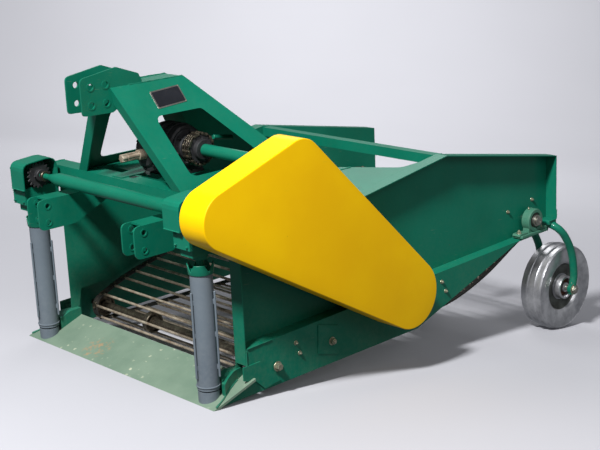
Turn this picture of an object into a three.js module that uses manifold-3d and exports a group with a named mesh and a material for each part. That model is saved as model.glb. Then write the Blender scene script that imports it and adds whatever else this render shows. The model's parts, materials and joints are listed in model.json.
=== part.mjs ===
// Tractor-mounted potato harvester: a digging blade, a rod chain that lifts and sifts the soil,
// two driven vertical rollers beside the blade, a three-point hitch and two steel rear wheels.
// Millimetres, +Z up, the front faces -Y. The machine is drawn level, with its rollers upright,
// and then pitched nose down about the blade's front edge to the way it parks.
import * as THREE from "three";
import { mergeVertices } from "three/addons/utils/BufferGeometryUtils.js";
import Module from "manifold-3d";

const wasm = await Module();
wasm.setup();

// Overall sizes
const PARKED_PITCH = 7.68;
const GAP = 0.3;
const PIN_CLEAR = 0.7;
const BLADE_LENGTH = 222;
const BLADE_RISE = 67;
const BLADE_THICKNESS = 10.4;
const SIDE_OUTER = 583;
const BLADE_HALF_WIDTH = SIDE_OUTER + 78;
const SHEET = 4;
const FLANGE = 60;
const FRAME_FRONT = 190;
const FRAME_REAR = 2234;

// Side walls
const SIDE_TOP_FRONT = 592;
const SIDE_BEND_Y = 1420;
const SIDE_BEND_Z = 750;
const SIDE_REAR_TOP = 602;
const SIDE_REAR_BOTTOM = 285;
const LEDGE_FRONT_Z = 192;
const LEDGE_REAR_Y = 1925;
const LEDGE_REAR_Z = 238;
const LEDGE_END_Y = 2150;

// Front frame and hitch
const BEAM_FRONT = 150;
const BEAM_SIZE = 80;
const BEAM_BOTTOM = 712;
const BEAM_HALF = SIDE_OUTER + 17;
const BEAM_TOP = BEAM_BOTTOM + BEAM_SIZE;
const LOWER_HITCH_CENTRE = 337;
const LOWER_HITCH_SPREAD = 40;
const HITCH_PLATE = 8;
const PANEL_TOP_X = 60;
const PANEL_TOP_Z = 1198;
const PANEL_FOOT_X = 356;
const PANEL_SHEET = 6;
const PANEL_FLANGE = 46;
const MID_BEAM_Y = 812;

// Drive line
const CROSS_SHAFT_Y = 40;
const CROSS_SHAFT_Z = 770;
const GUARD_RADIUS = 88;
const DRIVE_END = SIDE_OUTER + 117;
const OUTPUT_Y = 410;
const OUTPUT_Z = 902;
const INPUT_Z = 890;
const COVER_BACK = SIDE_OUTER + FLANGE + GAP;
const COVER_DEPTH = 141.7;
const COVER_FACE = COVER_BACK + COVER_DEPTH;
const COVER_CORNERS = [
  [27, 774, 115],
  [411, 911, 106],
  [1023, 232, 150],
];

// Vertical rollers
const ROLLER_X = SIDE_OUTER - 14;
const ROLLER_Y = 55;
const ROLLER_RADIUS = 45;
const ROLLER_BOTTOM = 56;
const ROLLER_TOP = 542;
const CROWN_RIM = ROLLER_TOP + 29;
const RIB_FROM = 108;
const RIB_TO = 460;

// Conveyor
const IDLER_Y = 350;
const IDLER_Z = 78;
const IDLER_PATH = 58;
const REAR_SHAFT_Y = 2062;
const REAR_SHAFT_Z = 313;
const REAR_PATH = 100;
const DRIVE_Y = 1023;
const DRIVE_Z = 262;
const ROD_RADIUS = 6;
const ROD_PITCH = 66;
const BELT_OUTER = SIDE_OUTER - 21;
const BELT_WIDTH = 26;
const BELT_INNER = BELT_OUTER - BELT_WIDTH;
const BELT_MIDDLE = BELT_OUTER - BELT_WIDTH / 2;
const BELT_THICK = 14;

// Rear wheels
const WHEEL_X = SIDE_OUTER;
const WHEEL_GROUND_Y = 2305;
const WHEEL_RADIUS = 218;
const WHEEL_WIDTH = 117;
const FORK_LEG_OFFSET = 99;
const FORK_TUBE = 19;
const AXLE_RADIUS = 14;

const PITCH = THREE.MathUtils.degToRad(PARKED_PITCH);
const BLADE_SLOPE = BLADE_RISE / BLADE_LENGTH;
const WHEEL_Y = WHEEL_GROUND_Y * Math.cos(PITCH) + WHEEL_RADIUS * Math.sin(PITCH);
const WHEEL_Z = WHEEL_RADIUS * Math.cos(PITCH) - WHEEL_GROUND_Y * Math.sin(PITCH);

// Turns a three.js geometry into a solid that can be cut and joined.
function solidOf(geometry) {
  const loose = geometry.index ? geometry.toNonIndexed() : geometry;
  const bare = new THREE.BufferGeometry();
  bare.setAttribute("position", loose.getAttribute("position"));
  const merged = mergeVertices(bare, 1e-3);
  return new wasm.Manifold(
    new wasm.Mesh({
      numProp: 3,
      vertProperties: new Float32Array(merged.attributes.position.array),
      triVerts: new Uint32Array(merged.index.array),
    }),
  );
}

// Lays a shape drawn in the XY plane and raised along Z so that it is raised along an axis.
function turned(geometry, axis) {
  const basis = new THREE.Matrix4();
  if (axis === "x") {
    basis.set(0, 0, 1, 0, 1, 0, 0, 0, 0, 1, 0, 0, 0, 0, 0, 1);
  }
  if (axis === "y") {
    basis.set(0, 1, 0, 0, 0, 0, 1, 0, 1, 0, 0, 0, 0, 0, 0, 1);
  }
  return geometry.applyMatrix4(basis);
}

// A prism along x with outline points [y, z], along y with [x, z], or along z with [x, y].
function prism(axis, outline, from, to, holes = []) {
  const flat = (points) => {
    const laid = points.map(([a, b]) => new THREE.Vector2(...(axis === "y" ? [b, a] : [a, b])));
    return THREE.ShapeUtils.isClockWise(laid) ? laid.reverse() : laid;
  };
  const shape = new THREE.Shape(flat(outline));
  for (const hole of holes) {
    shape.holes.push(new THREE.Path(flat(hole)));
  }
  const raised = new THREE.ExtrudeGeometry(shape, { depth: to - from, bevelEnabled: false });
  raised.translate(0, 0, from);
  return solidOf(turned(raised, axis));
}

function box(x, y, z) {
  const block = new THREE.BoxGeometry(x[1] - x[0], y[1] - y[0], z[1] - z[0]);
  block.translate((x[0] + x[1]) / 2, (y[0] + y[1]) / 2, (z[0] + z[1]) / 2);
  return solidOf(block);
}

// A round bar along an axis, centred on the other two coordinates in x, y, z order.
function bar(axis, centre, radius, from, to, sides = 24) {
  const round = new THREE.CylinderGeometry(radius, radius, to - from, sides);
  if (axis === "x") {
    round.rotateZ(Math.PI / 2).translate((from + to) / 2, centre[0], centre[1]);
  }
  if (axis === "y") {
    round.translate(centre[0], (from + to) / 2, centre[1]);
  }
  if (axis === "z") {
    round.rotateX(Math.PI / 2).translate(centre[0], centre[1], (from + to) / 2);
  }
  return solidOf(round);
}

function circle(centre, radius, sides = 24) {
  return Array.from({ length: sides }, (_, i) => {
    const angle = (2 * Math.PI * i) / sides;
    return [centre[0] + radius * Math.cos(angle), centre[1] + radius * Math.sin(angle)];
  });
}

// Points on an arc, angles in degrees.
function arc(centre, radius, from, to, steps) {
  return Array.from({ length: steps + 1 }, (_, i) => {
    const angle = THREE.MathUtils.degToRad(from + ((to - from) * i) / steps);
    return [centre[0] + radius * Math.cos(angle), centre[1] + radius * Math.sin(angle)];
  });
}

// The outline with each corner rounded by the radius given with it.
function rounded(corners, steps = 4) {
  const points = [];
  corners.forEach(([a, b, radius], i) => {
    const at = new THREE.Vector2(a, b);
    const before = new THREE.Vector2(...corners.at(i - 1)).sub(at).normalize();
    const after = new THREE.Vector2(...corners[(i + 1) % corners.length]).sub(at).normalize();
    const half = Math.acos(THREE.MathUtils.clamp(before.dot(after), -1, 1)) / 2;
    if (!radius) {
      points.push([a, b]);
      return;
    }
    const reach = radius / Math.tan(half);
    const start = at.clone().addScaledVector(before, reach);
    const end = at.clone().addScaledVector(after, reach);
    const curve = new THREE.QuadraticBezierCurve(start, at, end);
    curve.getPoints(steps).forEach((p) => points.push([p.x, p.y]));
  });
  return points;
}

// The outline round three circles, drawn as a belt would lie on them.
function beltOutline(circles, shrink, steps = 10) {
  const points = [];
  circles.forEach(([y, z, radius], i) => {
    const before = circles.at(i - 1);
    const after = circles[(i + 1) % circles.length];
    const outward = (a, b) => {
      const run = Math.hypot(b[0] - a[0], b[1] - a[1]);
      const along = Math.atan2(b[1] - a[1], b[0] - a[0]);
      return THREE.MathUtils.radToDeg(along) + 90 - THREE.MathUtils.radToDeg(Math.asin((b[2] - a[2]) / run)) * -1;
    };
    const from = outward(before, [y, z, radius]);
    let to = outward([y, z, radius], after);
    while (to > from) {
      to -= 360;
    }
    points.push(...arc([y, z], radius - shrink, from, to, steps));
  });
  return points;
}

// A round tube or bar bent through the points.
function bentBar(points, radius, steps, sides = 12) {
  const path = new THREE.CatmullRomCurve3(points.map((p) => new THREE.Vector3(...p)), false, "centripetal");
  const section = new THREE.Shape(circle([0, 0], radius, sides).map((p) => new THREE.Vector2(...p)));
  return solidOf(new THREE.ExtrudeGeometry(section, { steps, bevelEnabled: false, extrudePath: path }));
}

function joined(solids) {
  return solids.reduce((all, next) => all.add(next));
}

const machine = new THREE.Group();
machine.name = "potato_harvester_level";

const paints = {
  green: { color: 0x12725c, roughness: 0.42, metalness: 0.1 },
  yellow: { color: 0xdcae00, roughness: 0.38, metalness: 0.05 },
  primer: { color: 0x8ca58c, roughness: 0.6, metalness: 0.1 },
  grey: { color: 0x6e7a84, roughness: 0.5, metalness: 0.2 },
  steel: { color: 0x7c8078, roughness: 0.45, metalness: 0.9 },
  iron: { color: 0x4a443c, roughness: 0.7, metalness: 0.6 },
  rubber: { color: 0x1d1c1a, roughness: 0.85, metalness: 0.0 },
};

function place(name, made, paint) {
  const mesh = made.getMesh();
  const geometry = new THREE.BufferGeometry();
  geometry.setAttribute("position", new THREE.BufferAttribute(new Float32Array(mesh.vertProperties), 3));
  geometry.setIndex(new THREE.BufferAttribute(new Uint32Array(mesh.triVerts), 1));
  geometry.computeVertexNormals();
  const piece = new THREE.Mesh(geometry, new THREE.MeshStandardMaterial(paints[paint]));
  piece.name = name;
  machine.add(piece);
}

// Places a right-hand piece and its mirror image.
function placePair(name, made, paint) {
  place(name + "_right", made, paint);
  place(name + "_left", made.mirror([1, 0, 0]), paint);
}

// Digging blade: a sloping plate whose underside is ground flat where it meets the soil.
const groundRun = BLADE_THICKNESS / (BLADE_SLOPE + Math.tan(PITCH));
const bladeOutline = [
  [0, 0],
  [groundRun, -groundRun * Math.tan(PITCH)],
  [BLADE_LENGTH, BLADE_RISE - BLADE_THICKNESS],
  [BLADE_LENGTH, BLADE_RISE],
];
place("digging_blade", prism("x", bladeOutline, -BLADE_HALF_WIDTH, BLADE_HALF_WIDTH), "primer");

const bladeTop = (y) => y * BLADE_SLOPE;
const bladeUnder = (y) => y * BLADE_SLOPE - BLADE_THICKNESS;

// A block that stands on the blade's sloping top, up to a height.
function standingOnBlade(made, top) {
  const keep = [
    [-20, bladeTop(-20) + GAP],
    [BLADE_LENGTH + 40, bladeTop(BLADE_LENGTH + 40) + GAP],
    [BLADE_LENGTH + 40, top],
    [-20, top],
  ];
  return made.intersect(prism("x", keep, 0, BLADE_HALF_WIDTH));
}

// Toe pieces: wedges that flare from the side wall to the blade's corner round the roller's foot.
const TOE_TOP = 100;
const TOE_FRONT = 86;
const toeTop = (y) => 89 + (y - 126) * 0.33;
const toeOutline = [
  [SIDE_OUTER - 30, BLADE_LENGTH],
  ...arc([ROLLER_X, ROLLER_Y], ROLLER_RADIUS + 9, 120, 36, 8),
  [SIDE_OUTER + 51, TOE_FRONT],
  [SIDE_OUTER + 31, 121],
  [SIDE_OUTER + 10, 182],
  [SIDE_OUTER + 3, BLADE_LENGTH],
];
const toeSide = [
  [TOE_FRONT - 40, -10],
  [BLADE_LENGTH + 40, -10],
  [BLADE_LENGTH + 40, TOE_TOP],
  [159, TOE_TOP],
  [TOE_FRONT - 40, toeTop(TOE_FRONT - 40)],
];
const toe = prism("z", toeOutline, -10, 140).intersect(prism("x", toeSide, 0, BLADE_HALF_WIDTH));
placePair("blade_toe", standingOnBlade(toe, TOE_TOP), "green");

// Upper side walls: a web with flanges turned outwards round the top and the rear. Only the right
// wall, which carries the drive cover, has a flange down its front edge.
const ledgeTop = (y) => LEDGE_FRONT_Z
  + ((LEDGE_REAR_Z - LEDGE_FRONT_Z) * (y - FRAME_FRONT)) / (LEDGE_REAR_Y - FRAME_FRONT);
const RISER_REAR = 300;
const wallRim = [
  [FRAME_FRONT, 125],
  [FRAME_FRONT, BEAM_BOTTOM - GAP],
  [RISER_REAR - 50, BEAM_BOTTOM - GAP],
  [RISER_REAR + 30, SIDE_TOP_FRONT],
  [SIDE_BEND_Y, SIDE_BEND_Z],
  [FRAME_REAR, SIDE_REAR_TOP],
  [FRAME_REAR, SIDE_REAR_BOTTOM],
];
const wallOutline = [
  [FRAME_FRONT, TOE_TOP + GAP],
  ...wallRim.slice(1),
  [LEDGE_END_Y - 31.5, SIDE_REAR_BOTTOM],
  [LEDGE_END_Y - 31.5, LEDGE_REAR_Z - 2],
  [LEDGE_REAR_Y, LEDGE_REAR_Z - 12],
  [FRAME_FRONT + 60, ledgeTop(FRAME_FRONT + 60) - 12],
  [FRAME_FRONT + 42, TOE_TOP + GAP],
];
const wallHoles = [
  circle([REAR_SHAFT_Y, REAR_SHAFT_Z], 24),
  circle([DRIVE_Y, DRIVE_Z], 24),
];

// The rim moved inwards by a distance, for the thickness of a flange.
function movedIn(rim, distance) {
  return rim.map(([a, b], i) => {
    const at = new THREE.Vector2(a, b);
    const sides = [];
    if (i > 0) {
      sides.push(at.clone().sub(new THREE.Vector2(...rim[i - 1])).normalize());
    }
    if (i < rim.length - 1) {
      sides.push(new THREE.Vector2(...rim[i + 1]).sub(at).normalize());
    }
    const inward = sides.map((s) => new THREE.Vector2(s.y, -s.x));
    const mean = inward.reduce((sum, n) => sum.add(n), new THREE.Vector2()).normalize();
    const reach = distance / mean.dot(new THREE.Vector2(sides[0].y, -sides[0].x));
    return [a + mean.x * reach, b + mean.y * reach];
  });
}

const flangedWall = (rim) => prism("x", wallOutline, SIDE_OUTER - SHEET, SIDE_OUTER, wallHoles)
  .add(prism("x", [...rim, ...movedIn(rim, SHEET).reverse()], SIDE_OUTER - 1, SIDE_OUTER + FLANGE));
place("side_wall_right", flangedWall(wallRim), "green");
place("side_wall_left", flangedWall(wallRim.slice(1)).mirror([1, 0, 0]), "green");

// Lower side walls: a ledge turned out under the upper wall and a web that hangs from its edge.
const ledgeOutline = [
  [FRAME_FRONT + SHEET + GAP, ledgeTop(FRAME_FRONT)],
  [LEDGE_REAR_Y, LEDGE_REAR_Z],
  [LEDGE_END_Y, LEDGE_REAR_Z + 6],
  [LEDGE_END_Y, LEDGE_REAR_Z + 6 - SHEET],
  [LEDGE_REAR_Y, LEDGE_REAR_Z - SHEET],
  [FRAME_FRONT + SHEET + GAP, ledgeTop(FRAME_FRONT) - SHEET],
];
const skirtOutline = [
  [70, -5],
  [1200, 0],
  [LEDGE_REAR_Y, LEDGE_REAR_Z - SHEET],
  [FRAME_FRONT + SHEET + GAP, ledgeTop(FRAME_FRONT) - SHEET + 1],
  [FRAME_FRONT + SHEET + GAP, bladeTop(FRAME_FRONT + SHEET) + 1],
  [BLADE_LENGTH + GAP, BLADE_RISE + 1],
  [BLADE_LENGTH + GAP, bladeUnder(BLADE_LENGTH) - GAP],
  [70, bladeUnder(70) - GAP],
];
const skirtHoles = [circle([IDLER_Y, IDLER_Z], 13)];
const SKIRT_OUTER = SIDE_OUTER + FLANGE;
const lowerWall = prism("x", ledgeOutline, SIDE_OUTER + GAP, SKIRT_OUTER)
  .add(prism("x", skirtOutline, SKIRT_OUTER - SHEET, SKIRT_OUTER, skirtHoles));
const LEFT_LEDGE_START = FRAME_FRONT + 57;
const leftFrontRoom = box([SIDE_OUTER - 5, SKIRT_OUTER + 5], [0, LEFT_LEDGE_START], [TOE_TOP + 4, LEDGE_REAR_Z]);
place("lower_side_wall_right", lowerWall, "green");
place("lower_side_wall_left", lowerWall.subtract(leftFrontRoom).mirror([1, 0, 0]), "green");

// Folded brackets that bolt the blade's rear corners to the lower walls.
const bladeBracket = [
  [BLADE_LENGTH - 51, 68],
  [BLADE_LENGTH - 51, 123],
  [BLADE_LENGTH + 39, 125],
  [BLADE_LENGTH + 145, 15],
  [BLADE_LENGTH + 57, 4],
  [BLADE_LENGTH + 14, 46],
];
const bracketRoomOutline = [
  [BLADE_LENGTH - 90, bladeUnder(BLADE_LENGTH - 90) - 2],
  [BLADE_LENGTH + 2, bladeUnder(BLADE_LENGTH + 2) - 2],
  [BLADE_LENGTH + 2, BLADE_RISE + 2],
  [BLADE_LENGTH - 90, bladeTop(BLADE_LENGTH - 90) + 2],
];
const bracketRoom = prism("x", bracketRoomOutline, 0, BLADE_HALF_WIDTH + 40);
const bladeClip = prism("x", bladeBracket, SKIRT_OUTER + GAP, SKIRT_OUTER + 6)
  .subtract(bracketRoom)
  .subtract(bar("x", [IDLER_Y, IDLER_Z], 25, SIDE_OUTER, SKIRT_OUTER + 60));
placePair("blade_bracket", bladeClip, "green");

// Cross beams
const beamY = [BEAM_FRONT, BEAM_FRONT + BEAM_SIZE];
place("front_cross_beam", box([-BEAM_HALF, BEAM_HALF], beamY, [BEAM_BOTTOM, BEAM_TOP]), "green");
const midBeamBottom = SIDE_TOP_FRONT
  + ((SIDE_BEND_Z - SIDE_TOP_FRONT) * (MID_BEAM_Y + 60 - RISER_REAR - 30)) / (SIDE_BEND_Y - RISER_REAR - 30);
const midBeamOutline = [
  [MID_BEAM_Y, midBeamBottom - 8.1],
  [MID_BEAM_Y + 60, midBeamBottom + GAP],
  [MID_BEAM_Y + 60, BEAM_TOP],
  [MID_BEAM_Y, BEAM_TOP],
];
const midBeamFront = [
  [-BEAM_HALF, 0],
  [BEAM_HALF, 0],
  [BEAM_HALF, midBeamBottom + 20],
  [PANEL_FOOT_X + 34, BEAM_TOP],
  [-PANEL_FOOT_X - 34, BEAM_TOP],
  [-BEAM_HALF, midBeamBottom + 20],
];
const midBeam = prism("x", midBeamOutline, -BEAM_HALF, BEAM_HALF)
  .intersect(prism("y", midBeamFront, MID_BEAM_Y - 10, MID_BEAM_Y + 70));
place("mid_cross_beam", midBeam, "green");

// Corner plates that tie the middle beam to the sloping tops of the side walls.
const GUSSET_SHEET = 5;
const wallSlope = (SIDE_BEND_Z - SIDE_TOP_FRONT) / (SIDE_BEND_Y - RISER_REAR - 30);
const wallTop = (y) => SIDE_TOP_FRONT + (y - RISER_REAR - 30) * wallSlope;
const gussetFront = MID_BEAM_Y + 60 + GAP;
const gussetOutline = rounded([
  [SIDE_OUTER - SHEET - GAP, gussetFront, 0],
  [SIDE_OUTER - SHEET - GAP, gussetFront + 440, 0],
  [SIDE_OUTER - 32, gussetFront + 349, 60],
  [SIDE_OUTER - 319, gussetFront + 239, 30],
  [SIDE_OUTER - 383, gussetFront, 0],
], 8);
const gussetStrip = [
  [gussetFront - 10, wallTop(gussetFront - 10) - GUSSET_SHEET],
  [gussetFront + 460, wallTop(gussetFront + 460) - GUSSET_SHEET],
  [gussetFront + 460, wallTop(gussetFront + 460)],
  [gussetFront - 10, wallTop(gussetFront - 10)],
];
const gusset = prism("z", gussetOutline, 0, BEAM_TOP + 100)
  .intersect(prism("x", gussetStrip, 0, SIDE_OUTER));
placePair("corner_gusset", gusset, "green");
const railY = [beamY[1] + GAP, MID_BEAM_Y - GAP];
placePair("frame_rail", box([320, 384], railY, [BEAM_TOP - 60, BEAM_TOP]), "green");
const inner = SIDE_OUTER - SHEET - GAP;
const rearBar = box([-inner, inner], [SIDE_BEND_Y - 4, SIDE_BEND_Y + 41], [SIDE_BEND_Z - 52, SIDE_BEND_Z - 7]);
place("rear_cross_bar", rearBar, "green");
place("lower_cross_tube", bar("x", [1560, 208], 24, -inner, inner), "green");

// Lower hitch brackets: two drilled plates joined by a top plate, welded under the front beam.
const hitchOutline = rounded([
  [-108, 581, 28],
  [-108, 712, 26],
  [BEAM_FRONT - GAP, 712, 0],
  [BEAM_FRONT - GAP, BEAM_BOTTOM - GAP, 0],
  [beamY[1] + 30, BEAM_BOTTOM - GAP, 0],
  [beamY[1] + 30, 664, 20],
  [70, 581, 30],
]);
const pinHoles = [circle([-62, 683], 11), circle([-62, 611], 11)];
const hitchPlates = [-1, 1].map((side) => {
  const centre = LOWER_HITCH_CENTRE + side * LOWER_HITCH_SPREAD;
  return prism("x", hitchOutline, centre - HITCH_PLATE / 2, centre + HITCH_PLATE / 2, pinHoles);
});
const hitchReach = [LOWER_HITCH_CENTRE - LOWER_HITCH_SPREAD, LOWER_HITCH_CENTRE + LOWER_HITCH_SPREAD];
const hitchTop = box(hitchReach, [-60, BEAM_FRONT - GAP], [704, 712]);
const hitchBack = box(hitchReach, [60, 68], [600, 711]);
placePair("lower_hitch_bracket", joined([...hitchPlates, hitchTop, hitchBack]), "green");

// Upper hitch head: two drilled plates and the ridge that ties the leaning panels together.
const headOutline = rounded([
  [-76, 1102, 16],
  [-76, 1250, 22],
  [100, 1277, 12],
  [206, 1238, 8],
  [222, 1206, 0],
  [212, 1170, 0],
  [70, 1098, 10],
]);
const headHoles = [
  ...[-30, 42].flatMap((y) => [1140, 1214].map((z) => circle([y, z], 13))),
];
const headPlates = [-1, 1].map((side) => {
  const outer = side * (PANEL_TOP_X - 5);
  const from = Math.min(outer, outer - side * HITCH_PLATE);
  return prism("x", headOutline, from, from + HITCH_PLATE, headHoles);
});
const ridge = box([-(PANEL_TOP_X - 5), PANEL_TOP_X - 5], [150, 426], [1176, 1197]);
const headWeb = box([-50, 50], [120, 128], [1130, 1190]);
place("upper_hitch_head", joined([...headPlates, ridge, headWeb]), "green");

// Leaning panels of the A-frame, each with a window and flanges turned inwards.
const lean = (PANEL_FOOT_X - PANEL_TOP_X) / (PANEL_TOP_Z - BEAM_TOP - GAP);
const leanLength = Math.hypot(1, lean);
const leaningSlab = (thickness) => {
  const wide = thickness * leanLength;
  return [
    [PANEL_TOP_X, PANEL_TOP_Z],
    [PANEL_FOOT_X, BEAM_TOP + GAP],
    [PANEL_FOOT_X - wide, BEAM_TOP + GAP],
    [PANEL_TOP_X - wide, PANEL_TOP_Z],
  ];
};
const panelOutline = [
  [60, PANEL_TOP_Z],
  [430, PANEL_TOP_Z],
  [804, BEAM_TOP - 1],
  [152, BEAM_TOP - 1],
];
const panelWindow = rounded([
  [200, 1070, 30],
  [440, 1070, 30],
  [648, 836, 36],
  [236, 836, 36],
]);
const FOLD = 6;
const frontFold = [
  [60, PANEL_TOP_Z],
  [60 + FOLD, PANEL_TOP_Z],
  [152 + FOLD, BEAM_TOP - 1],
  [152, BEAM_TOP - 1],
];
const rearFold = [
  [430 - FOLD, PANEL_TOP_Z],
  [430, PANEL_TOP_Z],
  [804, BEAM_TOP - 1],
  [804 - FOLD * 1.4, BEAM_TOP - 1],
];
const panelFace = prism("y", leaningSlab(PANEL_SHEET), 50, 820)
  .intersect(prism("x", panelOutline, -100, 500, [panelWindow]));
const panelFolds = [frontFold, rearFold].map((fold) =>
  prism("y", leaningSlab(PANEL_FLANGE), 50, 820).intersect(prism("x", fold, -100, 500)),
);
const headRoom = box([-200, PANEL_TOP_X - 5 + GAP], [-100, 900], [1000, 1300]);
const panel = joined([panelFace, ...panelFolds]).subtract(headRoom);
placePair("a_frame_panel", panel, "green");

// Back plate that closes the A-frame between the panels' rear flanges.
const BACK_SHEET = 4;
const BACK_TOP = 1174;
const BACK_FOOT = BEAM_TOP + 8;
const rearEdge = (z) => 430 + ((804 - 430) * (PANEL_TOP_Z - z)) / (PANEL_TOP_Z - BEAM_TOP + 1);
const backStrip = [
  [rearEdge(BACK_TOP) - FOLD * 1.4 - GAP - BACK_SHEET, BACK_TOP],
  [rearEdge(BACK_TOP) - FOLD * 1.4 - GAP, BACK_TOP],
  [rearEdge(BACK_FOOT) - FOLD * 1.4 - GAP, BACK_FOOT],
  [rearEdge(BACK_FOOT) - FOLD * 1.4 - GAP - BACK_SHEET, BACK_FOOT],
];
const backReach = (z) => PANEL_TOP_X + (PANEL_TOP_Z - z) * lean - (PANEL_SHEET + GAP) * leanLength;
const backOutline = [
  [-backReach(BACK_FOOT), BACK_FOOT],
  [backReach(BACK_FOOT), BACK_FOOT],
  [backReach(BACK_TOP), BACK_TOP],
  [-backReach(BACK_TOP), BACK_TOP],
];
const backPlate = prism("x", backStrip, -PANEL_FOOT_X, PANEL_FOOT_X)
  .intersect(prism("y", backOutline, 300, 900));
place("a_frame_back_plate", backPlate, "green");

// Gearbox between the panels, with the splined input shaft at the front and the output to the right.
const gearMount = box([-320 + GAP, 320 - GAP], [300, 520], [BEAM_TOP - 22, BEAM_TOP - 10]);
place("gearbox_mount", gearMount, "green");
const gearbox = joined([
  bar("x", [OUTPUT_Y, OUTPUT_Z], 92, -96, 84, 28),
  box([-92, 80], [330, 492], [BEAM_TOP - 10 + GAP, 880]),
  bar("y", [0, INPUT_Z], 62, 246, 360, 24),
  bar("y", [0, INPUT_Z], 78, 258, 272, 24),
  bar("x", [OUTPUT_Y, OUTPUT_Z], 55, -112, 104, 24),
  bar("x", [OUTPUT_Y, OUTPUT_Z], 24, 100, 126, 20),
]);
place("gearbox", gearbox, "iron");
const SPLINES = 6;
const splineOutline = Array.from({ length: SPLINES * 4 }, (_, i) => {
  const angle = (2 * Math.PI * (i + 0.5)) / (SPLINES * 4);
  const radius = i % 4 < 2 ? 17.5 : 14.5;
  return [radius * Math.cos(angle), INPUT_Z + radius * Math.sin(angle)];
});
const inputShaft = prism("y", splineOutline, 127, 210)
  .add(bar("y", [0, INPUT_Z], 22, 208, 246 - GAP, 20));
place("input_shaft", inputShaft, "iron");
const COUPLING = [126 + GAP, 196];
const teeth = Array.from({ length: 16 }, (_, i) => {
  const angle = (2 * Math.PI * i) / 16;
  const at = [OUTPUT_Y + 66 * Math.cos(angle), OUTPUT_Z + 66 * Math.sin(angle)];
  return bar("x", at, 10, COUPLING[0] + 8, COUPLING[1] - 8, 8);
});
const coupling = joined([bar("x", [OUTPUT_Y, OUTPUT_Z], 62, ...COUPLING, 32), ...teeth]);
place("chain_coupling", coupling, "iron");
const outputShaft = bar("x", [OUTPUT_Y, OUTPUT_Z], 25, COUPLING[1] + GAP, DRIVE_END);
place("output_shaft", outputShaft, "green");
const shieldOutline = [
  [-124, 160],
  [-60, 162],
  [-54, 273],
  [-98, 324],
  [-160, 343],
];
place("input_shaft_shield", prism("z", shieldOutline, BEAM_TOP + GAP, BEAM_TOP + 4), "green");

// Drive cover: a deep rounded triangle closed at the back by a plate that bolts to the side wall.
const coverShell = prism("x", beltOutline(COVER_CORNERS, 0), COVER_BACK, COVER_FACE - 8)
  .add(prism("x", beltOutline(COVER_CORNERS, 3), COVER_BACK, COVER_FACE - 3))
  .add(prism("x", beltOutline(COVER_CORNERS, 8), COVER_BACK, COVER_FACE));
const coverHollow = prism("x", beltOutline(COVER_CORNERS, 6), COVER_BACK - 5, COVER_FACE - 10);
place("drive_cover", coverShell.subtract(coverHollow), "yellow");
const backHoles = [
  circle([OUTPUT_Y, OUTPUT_Z], 30),
  circle([CROSS_SHAFT_Y, CROSS_SHAFT_Z], 12.5 + GAP),
  circle([DRIVE_Y, DRIVE_Z], 24),
];
const coverBack = prism("x", beltOutline(COVER_CORNERS, 6 + GAP), COVER_BACK, COVER_BACK + 3, backHoles);
place("drive_cover_back", coverBack, "green");

// Cross shaft ahead of the beam, with its tube, and the guards over its roller drives.
const GUARD_INNER = ROLLER_X - 79;
const GUARD_OUTER = ROLLER_X + 21;
const crossShaft = bar("x", [CROSS_SHAFT_Y, CROSS_SHAFT_Z], 12.5, -(GUARD_OUTER - SHEET) + GAP, DRIVE_END, 20)
  .add(bar("x", [CROSS_SHAFT_Y, CROSS_SHAFT_Z], 29, -(GUARD_INNER - 75), GUARD_INNER - 12, 28));
place("cross_shaft", crossShaft, "green");
const GUARD_BOTTOM = 715;
const GUARD_TOP = CROSS_SHAFT_Z + 75;
const hoodOutline = (inset, bottom) => {
  const front = CROSS_SHAFT_Y - GUARD_RADIUS + inset;
  const rear = CROSS_SHAFT_Y + GUARD_RADIUS - inset;
  return rounded([
    [front, bottom, 0],
    [rear, bottom, 0],
    [rear, GUARD_TOP - inset, 52 - inset],
    [front, GUARD_TOP - 15 - inset, 36 - inset],
  ]);
};
const guard = prism("x", hoodOutline(0, GUARD_BOTTOM), GUARD_INNER, GUARD_OUTER)
  .subtract(prism("x", hoodOutline(SHEET, GUARD_BOTTOM - 10), GUARD_INNER - 10, GUARD_OUTER - SHEET));
const guardRight = guard.subtract(bar("x", [CROSS_SHAFT_Y, CROSS_SHAFT_Z], 12.5 + GAP, GUARD_OUTER - 20, GUARD_OUTER + 20));
place("roller_drive_guard_right", guardRight, "green");
place("roller_drive_guard_left", guard.mirror([1, 0, 0]), "green");
const STUB_RADIUS = 15;
const BOX_BOTTOM = GUARD_BOTTOM - 73;
const driveBox = joined([
  box([ROLLER_X - 48, ROLLER_X + 48], [-28, 118], [BOX_BOTTOM, GUARD_BOTTOM - GAP]),
  box([ROLLER_X - 36, ROLLER_X + 36], [-8, 108], [BOX_BOTTOM - 34, BOX_BOTTOM + 10]),
  box([ROLLER_X - 39, GUARD_OUTER], [100, BEAM_FRONT - GAP], [640, GUARD_BOTTOM - GAP]),
  box([ROLLER_X - 39, GUARD_OUTER], [CROSS_SHAFT_Y + GUARD_RADIUS + 1, BEAM_FRONT - GAP], [640, 762]),
  bar("z", [ROLLER_X, ROLLER_Y], 34, BOX_BOTTOM - 44, BOX_BOTTOM - 20),
]).subtract(bar("z", [ROLLER_X, ROLLER_Y], STUB_RADIUS + PIN_CLEAR, BOX_BOTTOM - 60, BOX_BOTTOM + 40, 20));
placePair("roller_drive_box", driveBox, "green");

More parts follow.
